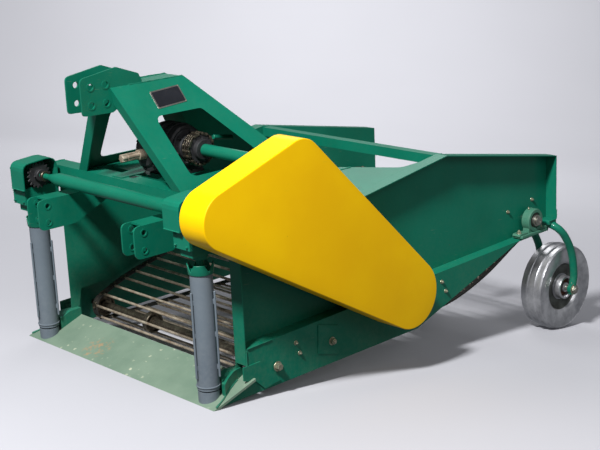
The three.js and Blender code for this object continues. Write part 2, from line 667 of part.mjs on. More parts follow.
// Vertical rollers: a tube with welded rods, a notched crown on top and a fixed foot below.
const RIBS = 3;
const RIB_TURN = (26 * Math.PI) / 180;
const ribs = Array.from({ length: RIBS }, (_, i) => {
  const angle = (2 * Math.PI * i) / RIBS + RIB_TURN;
  const at = [ROLLER_X + 52 * Math.cos(angle), ROLLER_Y + 52 * Math.sin(angle)];
  const seats = [0.12, 0.5, 0.88].map((share) => {
    const z = RIB_FROM + (RIB_TO - RIB_FROM) * share;
    const root = [ROLLER_X + 45.5 * Math.cos(angle), ROLLER_Y + 45.5 * Math.sin(angle)];
    return bar("z", root, 5, z - 8, z + 8, 8);
  });
  return joined([bar("z", at, 4.5, RIB_FROM, RIB_TO, 8), ...seats]);
});
const roller = joined([
  bar("z", [ROLLER_X, ROLLER_Y], ROLLER_RADIUS, ROLLER_BOTTOM, ROLLER_TOP, 32),
  ...ribs,
]).subtract(bar("z", [ROLLER_X, ROLLER_Y], STUB_RADIUS + PIN_CLEAR, 40, 120, 20));
placePair("crop_roller", roller, "grey");
const notch = (angle) => {
  const wedge = prism("y", [[-21, CROWN_RIM + 4], [21, CROWN_RIM + 4], [0, ROLLER_TOP - 4]], 20, 70);
  return wedge.rotate([0, 0, angle]).translate([ROLLER_X, ROLLER_Y, 0]);
};
const crownCup = bar("z", [ROLLER_X, ROLLER_Y], 50, ROLLER_TOP - 12, CROWN_RIM, 32)
  .subtract(bar("z", [ROLLER_X, ROLLER_Y], 44, ROLLER_TOP + 6, CROWN_RIM + 10, 32))
  .subtract(bar("z", [ROLLER_X, ROLLER_Y], ROLLER_RADIUS + GAP, ROLLER_TOP - 20, ROLLER_TOP + GAP, 32));
const crown = [0, 90, 180, 270]
  .reduce((cup, angle) => cup.subtract(notch(angle)), crownCup)
  .add(bar("z", [ROLLER_X, ROLLER_Y], STUB_RADIUS, ROLLER_TOP + 3, BOX_BOTTOM + 30, 20));
placePair("roller_crown", crown, "green");
const foot = bar("z", [ROLLER_X, ROLLER_Y], 43, -10, ROLLER_BOTTOM - 5, 32)
  .add(bar("z", [ROLLER_X, ROLLER_Y], STUB_RADIUS, -10, 112, 20));
placePair("roller_foot", standingOnBlade(foot, 130), "grey");

// Conveyor: one closed loop of rods held by a belt at each side, on three shafts.
const loopPoints = [
  ...arc([IDLER_Y, IDLER_Z], IDLER_PATH, 262, 118, 8),
  [456, 184],
  [640, 233],
  [820, DRIVE_Z + 11],
  ...arc([REAR_SHAFT_Y, REAR_SHAFT_Z], REAR_PATH, 96, -72, 10),
  [1984, 172],
  [1890, 128],
  [1794, 88],
  [1634, 40],
  [1501, 17],
  [1300, 10],
  [900, 12],
];
const loop = new THREE.CatmullRomCurve3(
  loopPoints.map(([y, z]) => new THREE.Vector3(0, y, z)),
  true,
  "centripetal",
);
const LOOP_STEPS = loopPoints.length * 2;
const loopOutline = (offset) =>
  Array.from({ length: LOOP_STEPS }, (_, i) => {
    const at = loop.getPoint(i / LOOP_STEPS);
    const along = loop.getTangent(i / LOOP_STEPS);
    return [at.y - along.z * offset, at.z + along.y * offset];
  });
const belts = [-1, 1].map((side) => {
  const from = Math.min(side * BELT_INNER, side * BELT_OUTER);
  const to = from + BELT_OUTER - BELT_INNER;
  return prism("x", loopOutline(BELT_THICK / 2), from, to, [loopOutline(-BELT_THICK / 2)]);
});
const rodCount = Math.round(loop.getLength() / ROD_PITCH);
const rods = Array.from({ length: rodCount }, (_, i) => {
  const at = loop.getPointAt((i + 0.5) / rodCount);
  return bar("x", [at.y, at.z], ROD_RADIUS, -BELT_INNER - 8, BELT_INNER + 8, 6);
});
place("conveyor_chain", joined([...belts, ...rods]), "iron");

const pulley = (centre, radius, x, wide) =>
  [-1, 1].map((side) => bar("x", centre, radius, side * x - wide / 2, side * x + wide / 2, 28));
const idlerCentre = [IDLER_Y, IDLER_Z];
const idler = joined([
  bar("x", idlerCentre, 12.5, -SKIRT_OUTER - 14, SKIRT_OUTER + 14, 20),
  bar("x", idlerCentre, 21, -BELT_INNER + 36, BELT_INNER - 36, 20),
  ...pulley(idlerCentre, IDLER_PATH - BELT_THICK / 2 - 0.8, BELT_MIDDLE, 24),
  ...pulley(idlerCentre, IDLER_PATH - ROD_RADIUS - 3, 180, 30),
]);
place("front_idler_shaft", idler, "iron");
const driveCentre = [DRIVE_Y, DRIVE_Z];
const drive = joined([
  bar("x", driveCentre, 20, -SIDE_OUTER - 35, DRIVE_END, 20),
  ...pulley(driveCentre, 25, BELT_MIDDLE, 22),
  ...pulley(driveCentre, 25, 200, 22),
]);
place("drive_shaft", drive, "iron");
const driveBearing = bar("x", driveCentre, 43, SIDE_OUTER + GAP, SIDE_OUTER + 29, 24)
  .subtract(bar("x", driveCentre, 20 + GAP, SIDE_OUTER - 20, SIDE_OUTER + 60, 20));
placePair("drive_bearing", driveBearing, "green");
const rearCentre = [REAR_SHAFT_Y, REAR_SHAFT_Z];
const rearShaft = joined([
  bar("x", rearCentre, 20, -SIDE_OUTER - 85, SIDE_OUTER + 85, 20),
  ...pulley(rearCentre, REAR_PATH - BELT_THICK / 2 - 0.8, BELT_MIDDLE, 22),
  ...pulley(rearCentre, REAR_PATH - ROD_RADIUS - 3, 200, 22),
]);
place("rear_conveyor_shaft", rearShaft, "steel");
const bearing = joined([
  bar("x", rearCentre, 57, SIDE_OUTER + 17, SIDE_OUTER + 65, 28),
  box([SIDE_OUTER + 17, SIDE_OUTER + 65], [REAR_SHAFT_Y - 50, REAR_SHAFT_Y + 50], [252, 300]),
  box([SIDE_OUTER + 9, SIDE_OUTER + 77], [1942, LEDGE_END_Y - 6], [LEDGE_REAR_Z + 6 + GAP, LEDGE_REAR_Z + 18]),
]).subtract(bar("x", rearCentre, 20 + GAP, SIDE_OUTER - 3, SIDE_OUTER + 117, 20));
placePair("rear_bearing", bearing, "iron");

// Rear wheels in bent-tube forks under the rear corners.
const legPath = [
  [FORK_LEG_OFFSET, 2313, WHEEL_Z - 26],
  [FORK_LEG_OFFSET, 2318, WHEEL_Z + 10],
  [FORK_LEG_OFFSET, 2330, -20],
  [FORK_LEG_OFFSET, 2308, 99],
  [FORK_LEG_OFFSET - 2, 2258, 190],
  [FORK_LEG_OFFSET - 18, 2222, 238],
  [FORK_LEG_OFFSET - 60, 2208, 258],
];
const forkPath = [
  ...legPath.map(([x, y, z]) => [WHEEL_X + x, y, z]),
  ...legPath.map(([x, y, z]) => [WHEEL_X - x, y, z]).reverse(),
];
const forkFoot = [-1, 1].map((side) => {
  const centre = WHEEL_X + side * FORK_LEG_OFFSET;
  return bar("x", [WHEEL_Y, WHEEL_Z], 26, centre - 12, centre + 12, 20);
});
const forkSeat = box([SIDE_OUTER - 7, SIDE_OUTER + FLANGE], [2176, FRAME_REAR], [262, SIDE_REAR_BOTTOM - GAP]);
const fork = joined([bentBar(forkPath, FORK_TUBE, 44), ...forkFoot, forkSeat])
  .subtract(bar("x", [WHEEL_Y, WHEEL_Z], AXLE_RADIUS + GAP, WHEEL_X - 183, WHEEL_X + 177, 20));
placePair("wheel_fork", fork, "green");
const axle = bar("x", [WHEEL_Y, WHEEL_Z], AXLE_RADIUS, WHEEL_X - 126, WHEEL_X + 126, 20)
  .add(bar("x", [WHEEL_Y, WHEEL_Z], 23, WHEEL_X + 118.5, WHEEL_X + 130, 6))
  .add(bar("x", [WHEEL_Y, WHEEL_Z], 23, WHEEL_X - 130, WHEEL_X - 118.5, 6));
placePair("wheel_axle", axle, "steel");
const half = WHEEL_WIDTH / 2;
const wheelProfile = [
  [AXLE_RADIUS + PIN_CLEAR, -half - 8],
  [40, -half - 8],
  [42, -half + 26],
  [132, -half + 20],
  [146, -half + 4],
  [206, -half],
  [WHEEL_RADIUS - 6, -half + 5],
  [WHEEL_RADIUS - 6, -30],
  [WHEEL_RADIUS, -26],
  [WHEEL_RADIUS, -18],
  [WHEEL_RADIUS - 6, -14],
  [WHEEL_RADIUS - 6, 14],
  [WHEEL_RADIUS, 18],
  [WHEEL_RADIUS, 26],
  [WHEEL_RADIUS - 6, 30],
  [WHEEL_RADIUS - 6, half - 5],
  [206, half],
  [146, half - 4],
  [132, half - 20],
  [42, half - 26],
  [40, half + 8],
  [AXLE_RADIUS + PIN_CLEAR, half + 8],
  [AXLE_RADIUS + PIN_CLEAR, -half - 8],
];
const wheelTurned = new THREE.LatheGeometry(wheelProfile.map((p) => new THREE.Vector2(...p)), 40);
wheelTurned.rotateZ(-Math.PI / 2).translate(WHEEL_X, WHEEL_Y, WHEEL_Z);
placePair("wheel", solidOf(wheelTurned), "steel");

// Pitch the machine to its parked stance and put the origin under the middle of its box.
machine.rotation.x = PITCH;
machine.updateMatrixWorld(true);
const bounds = new THREE.Box3().setFromObject(machine, true);
const centre = bounds.getCenter(new THREE.Vector3());
machine.position.set(-centre.x, -centre.y, -bounds.min.z);

const group = new THREE.Group();
group.name = "potato_harvester";
group.add(machine);

export default group;
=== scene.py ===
"""Looks of a tractor-mounted potato harvester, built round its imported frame.

All shapes are worked out in the machine's level frame: metres, X to the drive cover's side, Y to the
rear, Z up, with the origin at the middle of the blade's front edge. Level turns them into the frame.
"""

import json
import logging
import math
from dataclasses import dataclass, field
from enum import Enum
from typing import Callable, Iterable, Sequence

import bpy
import numpy as np
from mathutils import Matrix, Vector


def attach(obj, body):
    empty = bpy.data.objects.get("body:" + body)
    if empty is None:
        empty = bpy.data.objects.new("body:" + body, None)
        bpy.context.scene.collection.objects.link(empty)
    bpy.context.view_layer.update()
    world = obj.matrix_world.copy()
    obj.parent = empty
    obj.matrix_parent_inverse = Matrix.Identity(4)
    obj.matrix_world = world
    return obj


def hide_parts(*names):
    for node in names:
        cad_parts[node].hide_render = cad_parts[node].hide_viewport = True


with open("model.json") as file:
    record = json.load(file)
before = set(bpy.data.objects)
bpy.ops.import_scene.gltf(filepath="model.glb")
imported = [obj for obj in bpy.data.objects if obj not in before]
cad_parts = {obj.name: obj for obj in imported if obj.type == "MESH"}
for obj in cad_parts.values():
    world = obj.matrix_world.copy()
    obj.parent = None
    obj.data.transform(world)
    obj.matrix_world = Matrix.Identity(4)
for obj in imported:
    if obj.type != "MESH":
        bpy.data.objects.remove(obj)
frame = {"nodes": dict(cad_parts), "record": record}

LOG = logging.getLogger("potato_harvester")
Number = int | float
Colour = tuple[float, float, float]
Profile = Sequence[tuple[float, float]]


def srgb(red: Number, green: Number, blue: Number) -> Colour:
    """Turns a screen colour of 0 to 255 into linear light."""
    values = np.array([red, green, blue], float) / 255
    linear = np.where(values <= 0.04045, values / 12.92, ((values + 0.055) / 1.055) ** 2.4)
    return tuple(float(v) for v in linear)


# Shader building


class Value:
    """One shader output that can be used in arithmetic."""

    def __init__(self, shader: "Shader", socket: bpy.types.NodeSocket) -> None:
        """Keeps the shader it belongs to and its socket."""
        self.shader = shader
        self.socket = socket

    def math(self, operation: str, *others: "Value | Number", first: bool = True) -> "Value":
        """Runs one Math node.

        Args:
            operation: the node's operation name.
            others: the other operands.
            first: whether this value is the first operand.

        Returns:
            The node's result.
        """
        operands = [self, *others] if first else [*others, self]
        return self.shader.node("ShaderNodeMath", {"operation": operation}, dict(enumerate(operands)))

    def __add__(self, other: "Value | Number") -> "Value":
        """Sum."""
        return self.math("ADD", other)

    __radd__ = __add__

    def __sub__(self, other: "Value | Number") -> "Value":
        """Difference."""
        return self.math("SUBTRACT", other)

    def __rsub__(self, other: "Value | Number") -> "Value":
        """Difference taken from another value."""
        return self.math("SUBTRACT", other, first=False)

    def __mul__(self, other: "Value | Number") -> "Value":
        """Product."""
        return self.math("MULTIPLY", other)

    __rmul__ = __mul__

    def __truediv__(self, other: "Value | Number") -> "Value":
        """Quotient."""
        return self.math("DIVIDE", other)

    def __rtruediv__(self, other: "Value | Number") -> "Value":
        """Quotient of another value by this one."""
        return self.math("DIVIDE", other, first=False)

    def __pow__(self, other: "Value | Number") -> "Value":
        """Power."""
        return self.math("POWER", other)

    def step(self, low: Number, high: Number, to_low: Number = 0.0, to_high: Number = 1.0) -> "Value":
        """Rises smoothly from one level to another while this value goes from low to high."""
        settings = {"interpolation_type": "SMOOTHSTEP", "clamp": True}
        inputs = {0: self, 1: low, 2: high, 3: to_low, 4: to_high}
        return self.shader.node("ShaderNodeMapRange", settings, inputs)


class Shader:
    """A material's node tree, built through one method for any node."""

    def __init__(self, name: str) -> None:
        """Makes an empty material."""
        self.material = bpy.data.materials.new(name)
        self.material.use_nodes = True
        self.tree = self.material.node_tree
        self.tree.nodes.clear()
        self.place = self.node("ShaderNodeTexCoord", {}, {}, "Object")

    def node(self, kind: str, settings: dict, inputs: dict, output: str | int = 0) -> Value:
        """Adds a node of any kind.

        Args:
            kind: the node's type name.
            settings: attributes to set on it.
            inputs: values, numbers or colours by socket name or number.
            output: the output wanted, by name or number.

        Returns:
            That output.
        """
        made = self.tree.nodes.new(kind)
        for key, setting in settings.items():
            setattr(made, key, setting)
        for key, given in inputs.items():
            if isinstance(given, Value):
                self.tree.links.new(given.socket, made.inputs[key])
            elif isinstance(given, tuple) and made.inputs[key].type == "RGBA":
                made.inputs[key].default_value = (*given, 1.0)
            else:
                made.inputs[key].default_value = given
        return Value(self, made.outputs[output])

    def stretched(self, x: Number, y: Number, z: Number) -> Value:
        """The object's coordinates, scaled along each axis."""
        inputs = {0: self.place, 1: (float(x), float(y), float(z))}
        return self.node("ShaderNodeVectorMath", {"operation": "MULTIPLY"}, inputs)

    def axis(self, name: str) -> Value:
        """One of the object's coordinates."""
        return self.node("ShaderNodeSeparateXYZ", {}, {0: self.place}, name)

    def noise(
        self, scale: Number, detail: Number = 3, roughness: Number = 0.5, place: Value | None = None
    ) -> Value:
        """Soft noise from 0 to 1."""
        inputs = {"Vector": place or self.place, "Scale": scale, "Detail": detail, "Roughness": roughness}
        return self.node("ShaderNodeTexNoise", {}, inputs, "Fac")

    def cells(self, scale: Number) -> Value:
        """Distance to scattered cell centres."""
        return self.node("ShaderNodeTexVoronoi", {}, {"Vector": self.place, "Scale": scale}, "Distance")

    def blend(self, share: Value | Number, low: "Value | Colour", high: "Value | Colour") -> Value:
        """Mixes two colours."""
        settings = {"data_type": "RGBA", "clamp_factor": True}
        return self.node("ShaderNodeMix", settings, {0: share, 6: low, 7: high}, 2)

    def bump(self, height: Value, distance: Number, strength: Number, under: Value | None = None) -> Value:
        """Turns a height from 0 to 1 into a normal, over another normal if one is given."""
        inputs = {"Height": height, "Distance": distance, "Strength": strength}
        if under is not None:
            inputs["Normal"] = under
        return self.node("ShaderNodeBump", {}, inputs)

    def surface(self, **inputs: "Value | Number | Colour") -> bpy.types.Material:
        """Closes the material with one Principled shader, inputs named with _ for spaces."""
        named = {key.replace("_", " "): given for key, given in inputs.items()}
        shaded = self.node("ShaderNodeBsdfPrincipled", {}, named)
        closed = self.tree.nodes.new("ShaderNodeOutputMaterial")
        self.tree.links.new(shaded.socket, closed.inputs["Surface"])
        return self.material


@dataclass(frozen=True)
class Enamel:
    """Sprayed enamel with slight colour drift, dust, fine scratches and small chips to primer and rust."""

    name: str
    base: Colour
    deep: Colour
    chip: Colour = srgb(92, 60, 40)
    dust: Colour = srgb(128, 140, 118)
    roughness: float = 0.34
    dust_share: float = 0.04
    chip_edge: float = 0.105
    coat: float = 0.05
    sheen: float = 0.2

    def material(self) -> bpy.types.Material:
        """Builds the material."""
        s = Shader(self.name)
        drift = s.noise(2.4, 4, 0.55)
        runs = s.noise(9, 3, 0.5, s.stretched(1.0, 1.0, 0.25))
        mottle = s.noise(60, 2, 0.6)
        colour = s.blend(drift.step(0.3, 0.72) * 0.75 + runs * 0.2, self.base, self.deep)
        low = s.axis("Z").step(0.62, 0.02)
        settled = (mottle * 0.5 + s.noise(5.5, 5, 0.65) * 0.7 - 0.35).step(0.05, 0.6)
        dusty = settled * (low * 0.16 + self.dust_share)
        colour = s.blend(dusty, colour, self.dust)
        scratch_place = s.stretched(1.0, 0.06, 1.0)
        scratches = s.noise(260, 1, 0.4, scratch_place).step(0.71, 0.78) * s.noise(7, 2).step(0.52, 0.66)
        colour = s.blend(scratches * 0.35, colour, self.dust)
        chips = s.cells(34).step(self.chip_edge, self.chip_edge * 0.55)
        sparse = s.noise(6.5, 3, 0.6).step(0.6, 0.7)
        chipped = chips * sparse * s.noise(150, 2).step(0.38, 0.5)
        colour = s.blend(chipped, colour, self.chip)
        rough = self.roughness + dusty * 0.3 + chipped * 0.35 + mottle * 0.06
        peel = s.bump(s.noise(420, 2, 0.5), 0.00012, 0.5)
        dents = s.bump(s.noise(3.2, 2, 0.5), 0.006, 0.22, peel)
        relief = s.bump(1 - chipped, 0.0004, 0.8, dents)
        return s.surface(
            Base_Color=colour, Roughness=rough, Coat_Weight=self.coat, Specular_IOR_Level=self.sheen,
            Normal=relief,
        )


@dataclass(frozen=True)
class Primer:
    """Thin sage primer on a plough-steel blade, scuffed along the digging direction, with rust spots."""

    name: str = "blade_primer"
    base: Colour = srgb(116, 136, 118)
    deep: Colour = srgb(96, 119, 102)
    rust: Colour = srgb(176, 128, 84)
    pale: Colour = srgb(196, 198, 172)
    steel: Colour = srgb(120, 118, 108)

    def material(self) -> bpy.types.Material:
        """Builds the material."""
        s = Shader(self.name)
        drift = s.noise(5, 5, 0.6)
        streaks = s.noise(120, 3, 0.6, s.stretched(1.0, 0.05, 0.05))
        colour = s.blend(drift.step(0.32, 0.7) * 0.8 + streaks * 0.25 - 0.1, self.base, self.deep)
        region = s.noise(3.1, 2, 0.5).step(0.46, 0.62)
        flecks = s.cells(30).step(0.3, 0.12) * region * s.noise(70, 3).step(0.44, 0.6)
        colour = s.blend(flecks * 0.85, colour, self.pale)
        across = (s.axis("X") + 0.26) / 0.085
        along = (s.axis("Y") + 1.065) / 0.075
        patch = (1 - across * across - along * along).step(0.0, 0.6)
        spots = s.noise(34, 4, 0.7).step(0.48, 0.64) * patch
        colour = s.blend(spots * 0.5, colour, self.rust)
        worn = streaks.step(0.62, 0.75) * drift.step(0.45, 0.6)
        colour = s.blend(worn * 0.4, colour, self.steel)
        rough = 0.52 + drift * 0.15 + spots * 0.2 - worn * 0.12
        fine = s.bump(streaks, 0.0004, 0.5)
        relief = s.bump(s.noise(40, 4, 0.6) + spots * 0.6, 0.0009, 0.5, fine)
        return s.surface(Base_Color=colour, Roughness=rough, Normal=relief)


@dataclass(frozen=True)
class Metal:
    """Bare or lightly painted metal with blotches, rust, oil film and machining marks."""

    name: str
    base: Colour
    deep: Colour
    rust: Colour = srgb(110, 70, 44)
    roughness: float = 0.36
    metallic: float = 0.85
    rust_share: float = 0.25
    blotch: float = 14.0
    grain: float = 0.0004

    def material(self) -> bpy.types.Material:
        """Builds the material."""
        s = Shader(self.name)
        blotches = s.noise(self.blotch, 5, 0.62)
        fine = s.noise(self.blotch * 9, 3, 0.55)
        colour = s.blend(blotches.step(0.3, 0.72), self.base, self.deep)
        rusty = (blotches * 0.45 + fine * 0.45 + self.rust_share * 0.5 - 0.12).step(0.42, 0.62)
        colour = s.blend(rusty * (self.rust_share + 0.3), colour, self.rust)
        metal = self.metallic - rusty * 0.6 * self.metallic
        rough = self.roughness + rusty * 0.3 + fine * 0.14
        coarse = s.bump(blotches, self.grain * 3, 0.4)
        relief = s.bump(fine + rusty * 0.4, self.grain, 0.6, coarse)
        return s.surface(Base_Color=colour, Roughness=rough, Metallic=metal, Normal=relief)


@dataclass(frozen=True)
class Rubber:
    """Black rubber, dusty and slightly polished."""

    name: str = "rubber"
    base: Colour = srgb(42, 41, 37)
    dust: Colour = srgb(96, 88, 76)

    def material(self) -> bpy.types.Material:
        """Builds the material."""
        s = Shader(self.name)
        cloud = s.noise(18, 5, 0.6)
        fine = s.noise(160, 2, 0.5)
        colour = s.blend(cloud.step(0.45, 0.75) * 0.45, self.base, self.dust)
        return s.surface(Base_Color=colour, Roughness=0.62 + cloud * 0.2, Normal=s.bump(fine, 0.0005, 0.5))


class Slot(Enum):
    """The record's material slots and the finish each one takes."""

    GREEN = "green_paint"
    YELLOW = "yellow_paint"
    PRIMER = "blade_primer"
    GREY = "grey_paint"
    WHEEL = "wheel_steel"
    STEEL = "bare_steel"
    CAST = "cast_iron"
    CHAIN = "chain_steel"
    BEARING = "bearing_iron"


class Palette:
    """Builds each finish once and hands it out."""

    def __init__(self) -> None:
        """Builds the materials."""
        slots = {
            Slot.GREEN: Enamel("green_enamel", srgb(10, 112, 89), srgb(2, 96, 74)),
            Slot.YELLOW: Enamel(
                "yellow_enamel", srgb(250, 200, 0), srgb(240, 184, 0), srgb(120, 96, 40), srgb(222, 182, 30),
                roughness=0.4, dust_share=0.02, chip_edge=0.06, coat=0.04, sheen=0.15,
            ),
            Slot.PRIMER: Primer(),
            Slot.GREY: Enamel(
                "roller_grey", srgb(106, 116, 124), srgb(88, 98, 108), srgb(84, 70, 60), srgb(140, 146, 148),
                roughness=0.38, dust_share=0.1, coat=0.1,
            ),
            Slot.WHEEL: Metal(
                "wheel_steel", srgb(226, 226, 229), srgb(170, 171, 175), roughness=0.25, metallic=0.82,
                rust_share=0.08, blotch=11, grain=0.0009,
            ),
            Slot.STEEL: Metal(
                "bare_steel", srgb(190, 188, 178), srgb(150, 148, 140), roughness=0.28, metallic=0.95,
                rust_share=0.1, blotch=30,
            ),
            Slot.CAST: Metal(
                "cast_iron", srgb(66, 66, 68), srgb(38, 39, 42), srgb(86, 66, 50), roughness=0.46,
                metallic=0.5, rust_share=0.14, blotch=26, grain=0.0008,
            ),
            Slot.CHAIN: Metal(
                "chain_steel", srgb(198, 186, 166), srgb(130, 118, 100), srgb(104, 80, 62),
                metallic=0.55, rust_share=0.3, blotch=22,
            ),
            Slot.BEARING: Enamel(
                "bearing_enamel", srgb(60, 118, 98), srgb(40, 92, 76), roughness=0.45, dust_share=0.2,
            ),
        }
        self.by_slot = {slot: finish.material() for slot, finish in slots.items()}
        self.rubber = Rubber().material()
        self.weld = Enamel("weld_enamel", srgb(20, 116, 92), srgb(10, 88, 70), roughness=0.4).material()
        self.plate = Metal(
            "plate_black", srgb(26, 28, 34), srgb(36, 38, 44), roughness=0.35, metallic=0.3, rust_share=0.0,
        ).material()
        self.dark = Metal(
            "dark_steel", srgb(126, 118, 102), srgb(54, 50, 45), srgb(84, 58, 42), roughness=0.3,
            metallic=0.9, rust_share=0.16, blotch=60,
        ).material()
        # Darker steel for the thin ring on each wheel dish: painted shade of the dish's recess, not the
        # wheel's own colour.
        self.dish = Metal(
            "wheel_dish_painted_shade", srgb(112, 116, 110), srgb(58, 60, 56), roughness=0.26, rust_share=0.1, blotch=9,
        ).material()
        self.rust = Metal(
            "rusty_steel", srgb(112, 74, 56), srgb(72, 46, 36), srgb(96, 54, 34), roughness=0.6,
            metallic=0.25, rust_share=0.5, blotch=60,
        ).material()
        self.zinc = Metal(
            "zinc_fastener", srgb(196, 194, 172), srgb(150, 146, 124), roughness=0.3, rust_share=0.12,
            blotch=60,
        ).material()

    def __getitem__(self, slot: Slot) -> bpy.types.Material:
        """The material of a slot."""
        return self.by_slot[slot]


# Level frame and shapes


class Level:
    """The machine's level frame, found from the two roller joints of the record."""

    ROLLER_POINT = np.array([0.0, 0.055, 0.300])

    def __init__(self, record: dict) -> None:
        """Reads the pitch and the offset from the joints."""
        joints = {joint["name"]: joint for joint in record["behaviour"]["joints"]}
        right, left = joints["roller_right_spin"], joints["roller_left_spin"]
        axis = right["axis"]
        self.pitch = math.atan2(-axis[1], axis[2])
        cos, sin = math.cos(self.pitch), math.sin(self.pitch)
        self.turn = np.array([[1, 0, 0], [0, cos, -sin], [0, sin, cos]])
        middle = (np.array(right["pos_m"]) + np.array(left["pos_m"])) / 2
        self.offset = middle - self.turn @ self.ROLLER_POINT
        wheel = np.array(joints["wheel_right_spin"]["pos_m"])
        self.wheel = self.turn.T @ (wheel - self.offset)

    def place(self, points: np.ndarray) -> np.ndarray:
        """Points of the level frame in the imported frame."""
        return points @ self.turn.T + self.offset


@dataclass
class Shape:
    """Points and faces, in the level frame."""

    points: np.ndarray
    faces: list[list[int]] = field(default_factory=list)

    def __add__(self, other: "Shape") -> "Shape":
        """Both shapes as one."""
        shift = len(self.points)
        moved = [[i + shift for i in face] for face in other.faces]
        return Shape(np.vstack([self.points, other.points]), self.faces + moved)

    def mirrored(self) -> "Shape":
        """The mirror image across the middle of the machine."""
        return Shape(self.points * np.array([-1.0, 1.0, 1.0]), [face[::-1] for face in self.faces])

    def both(self) -> "Shape":
        """The shape and its mirror image."""
        return self + self.mirrored()

    def copies(self, places: np.ndarray, turns: np.ndarray | None = None) -> "Shape":
        """Copies of the shape.

        Args:
            places: (n, 3) offsets.
            turns: (n, 3, 3) rotations, or None to leave each copy as it is.

        Returns:
            All the copies as one shape.
        """
        count = len(places)
        if turns is None:
            spread = np.repeat(self.points[None], count, 0)
        else:
            spread = np.einsum("nij,pj->npi", turns, self.points)
        spread = spread + places[:, None, :]
        size = len(self.points)
        faces = [[i + size * k for i in face] for k in range(count) for face in self.faces]
        return Shape(spread.reshape(-1, 3), faces)


def merged(shapes: Iterable[Shape]) -> Shape:
    """Several shapes as one."""
    listed = list(shapes)
    total = listed[0]
    for shape in listed[1:]:
        total = total + shape
    return total


def grid_faces(rows: int, columns: int, closed_rows: bool, closed_columns: bool) -> list[list[int]]:
    """Quads of a grid of points numbered row by row, wrapped round where it closes."""
    r = np.arange(rows if closed_rows else rows - 1)
    c = np.arange(columns if closed_columns else columns - 1)
    a, b = np.meshgrid(r, c, indexing="ij")
    a, b = a.ravel(), b.ravel()
    nr, nc = (a + 1) % rows, (b + 1) % columns
    quads = np.stack([a * columns + b, a * columns + nc, nr * columns + nc, nr * columns + b], 1)
    return quads.tolist()


def tube_faces(rows: int, sides: int) -> list[list[int]]:
    """Faces of a tube of rings, closed at both ends."""
    last = (rows - 1) * sides
    return [*grid_faces(rows, sides, False, True), list(range(sides))[::-1], list(range(last, last + sides))]


def angles(count: int) -> np.ndarray:
    """Equal angles round a full turn."""
    return np.linspace(0, 2 * np.pi, count, endpoint=False)


def polar(radius: np.ndarray | float, angle: np.ndarray) -> np.ndarray:
    """Flat points at a distance and angles from the middle."""
    return np.column_stack([radius * np.cos(angle), radius * np.sin(angle)])


def stacked(levels: Iterable[tuple], angle: np.ndarray) -> np.ndarray:
    """Points of rings round Z, one for each radius and height, which may change with the angle."""
    return np.vstack([np.column_stack([polar(size, angle), height + 0 * angle]) for size, height in levels])


def round_x(x: float, centre: Sequence[float], radius: float, angle: np.ndarray) -> np.ndarray:
    """Points round a line along X, all at one X."""
    return np.column_stack([np.full(len(angle), x), np.array(centre) + polar(radius, angle)])


AXES = {"x": np.array([1.0, 0, 0]), "y": np.array([0, 1.0, 0]), "z": np.array([0, 0, 1.0])}


def frame_of(axis: np.ndarray | str) -> np.ndarray:
    """A rotation whose third column is the axis."""
    along = AXES[axis] if isinstance(axis, str) else np.asarray(axis, float)
    along = along / np.linalg.norm(along)
    helper = np.array([0.0, 0, 1]) if abs(along[2]) < 0.9 else np.array([0.0, 1, 0])
    side = np.cross(helper, along)
    side = side / np.linalg.norm(side)
    return np.stack([side, np.cross(along, side), along], 1)


def lathe(profile: Profile, centre: Sequence[float], axis: np.ndarray | str, sides: int = 48) -> Shape:
    """Turns a profile round an axis.

    A point at radius r and height h becomes centre + r (cos a, sin a) + h along the axis, for each angle a.

    Args:
        profile: (radius, height) pairs that run up the outside; ends at radius 0 close on the axis,
            and any other ends are closed with a flat face.
        centre: where height 0 is.
        axis: "x", "y", "z" or a direction.
        sides: points round the axis.

    Returns:
        The turned shape.
    """
    points = stacked(profile, angles(sides)) @ frame_of(axis).T + np.array(centre, float)
    return Shape(points, tube_faces(len(profile), sides))


def flipped(half: Profile) -> Profile:
    """The other half of a profile that is the same both ways from height 0."""
    return [(radius, -height) for radius, height in reversed(half)]


def ring(profile: Profile, centre: Sequence[float], axis: np.ndarray | str, sides: int = 48) -> Shape:
    """Turns a closed profile, given anticlockwise in (radius, height), round an axis into a ring."""
    made = lathe(profile, centre, axis, sides)
    return Shape(made.points, grid_faces(len(profile), sides, True, True))


def washer(
    inner: float, outer: float, thickness: float, centre: Sequence[float], axis: str = "x", sides: int = 36
) -> Shape:
    """A flat ring with square edges."""
    return ring([(inner, 0), (outer, 0), (outer, thickness), (inner, thickness)], centre, axis, sides)


def collar(
    radius: float, length: float, cut: float, centre: Sequence[float], axis: np.ndarray | str, sides: int = 40
) -> Shape:
    """A round drum with chamfered ends, standing on its centre along the axis."""
    profile = [(radius - cut, 0), (radius, cut), (radius, length - cut), (radius - cut, length)]
    return lathe(profile, centre, axis, sides)


def rod(
    start: Sequence[float], end: Sequence[float], radius: float, sides: int = 16, soft: float = 0.15
) -> Shape:
    """A round bar between two points, its ends chamfered by a share of the radius."""
    along = np.array(end, float) - np.array(start, float)
    return collar(radius, float(np.linalg.norm(along)), radius * soft, start, along, sides)


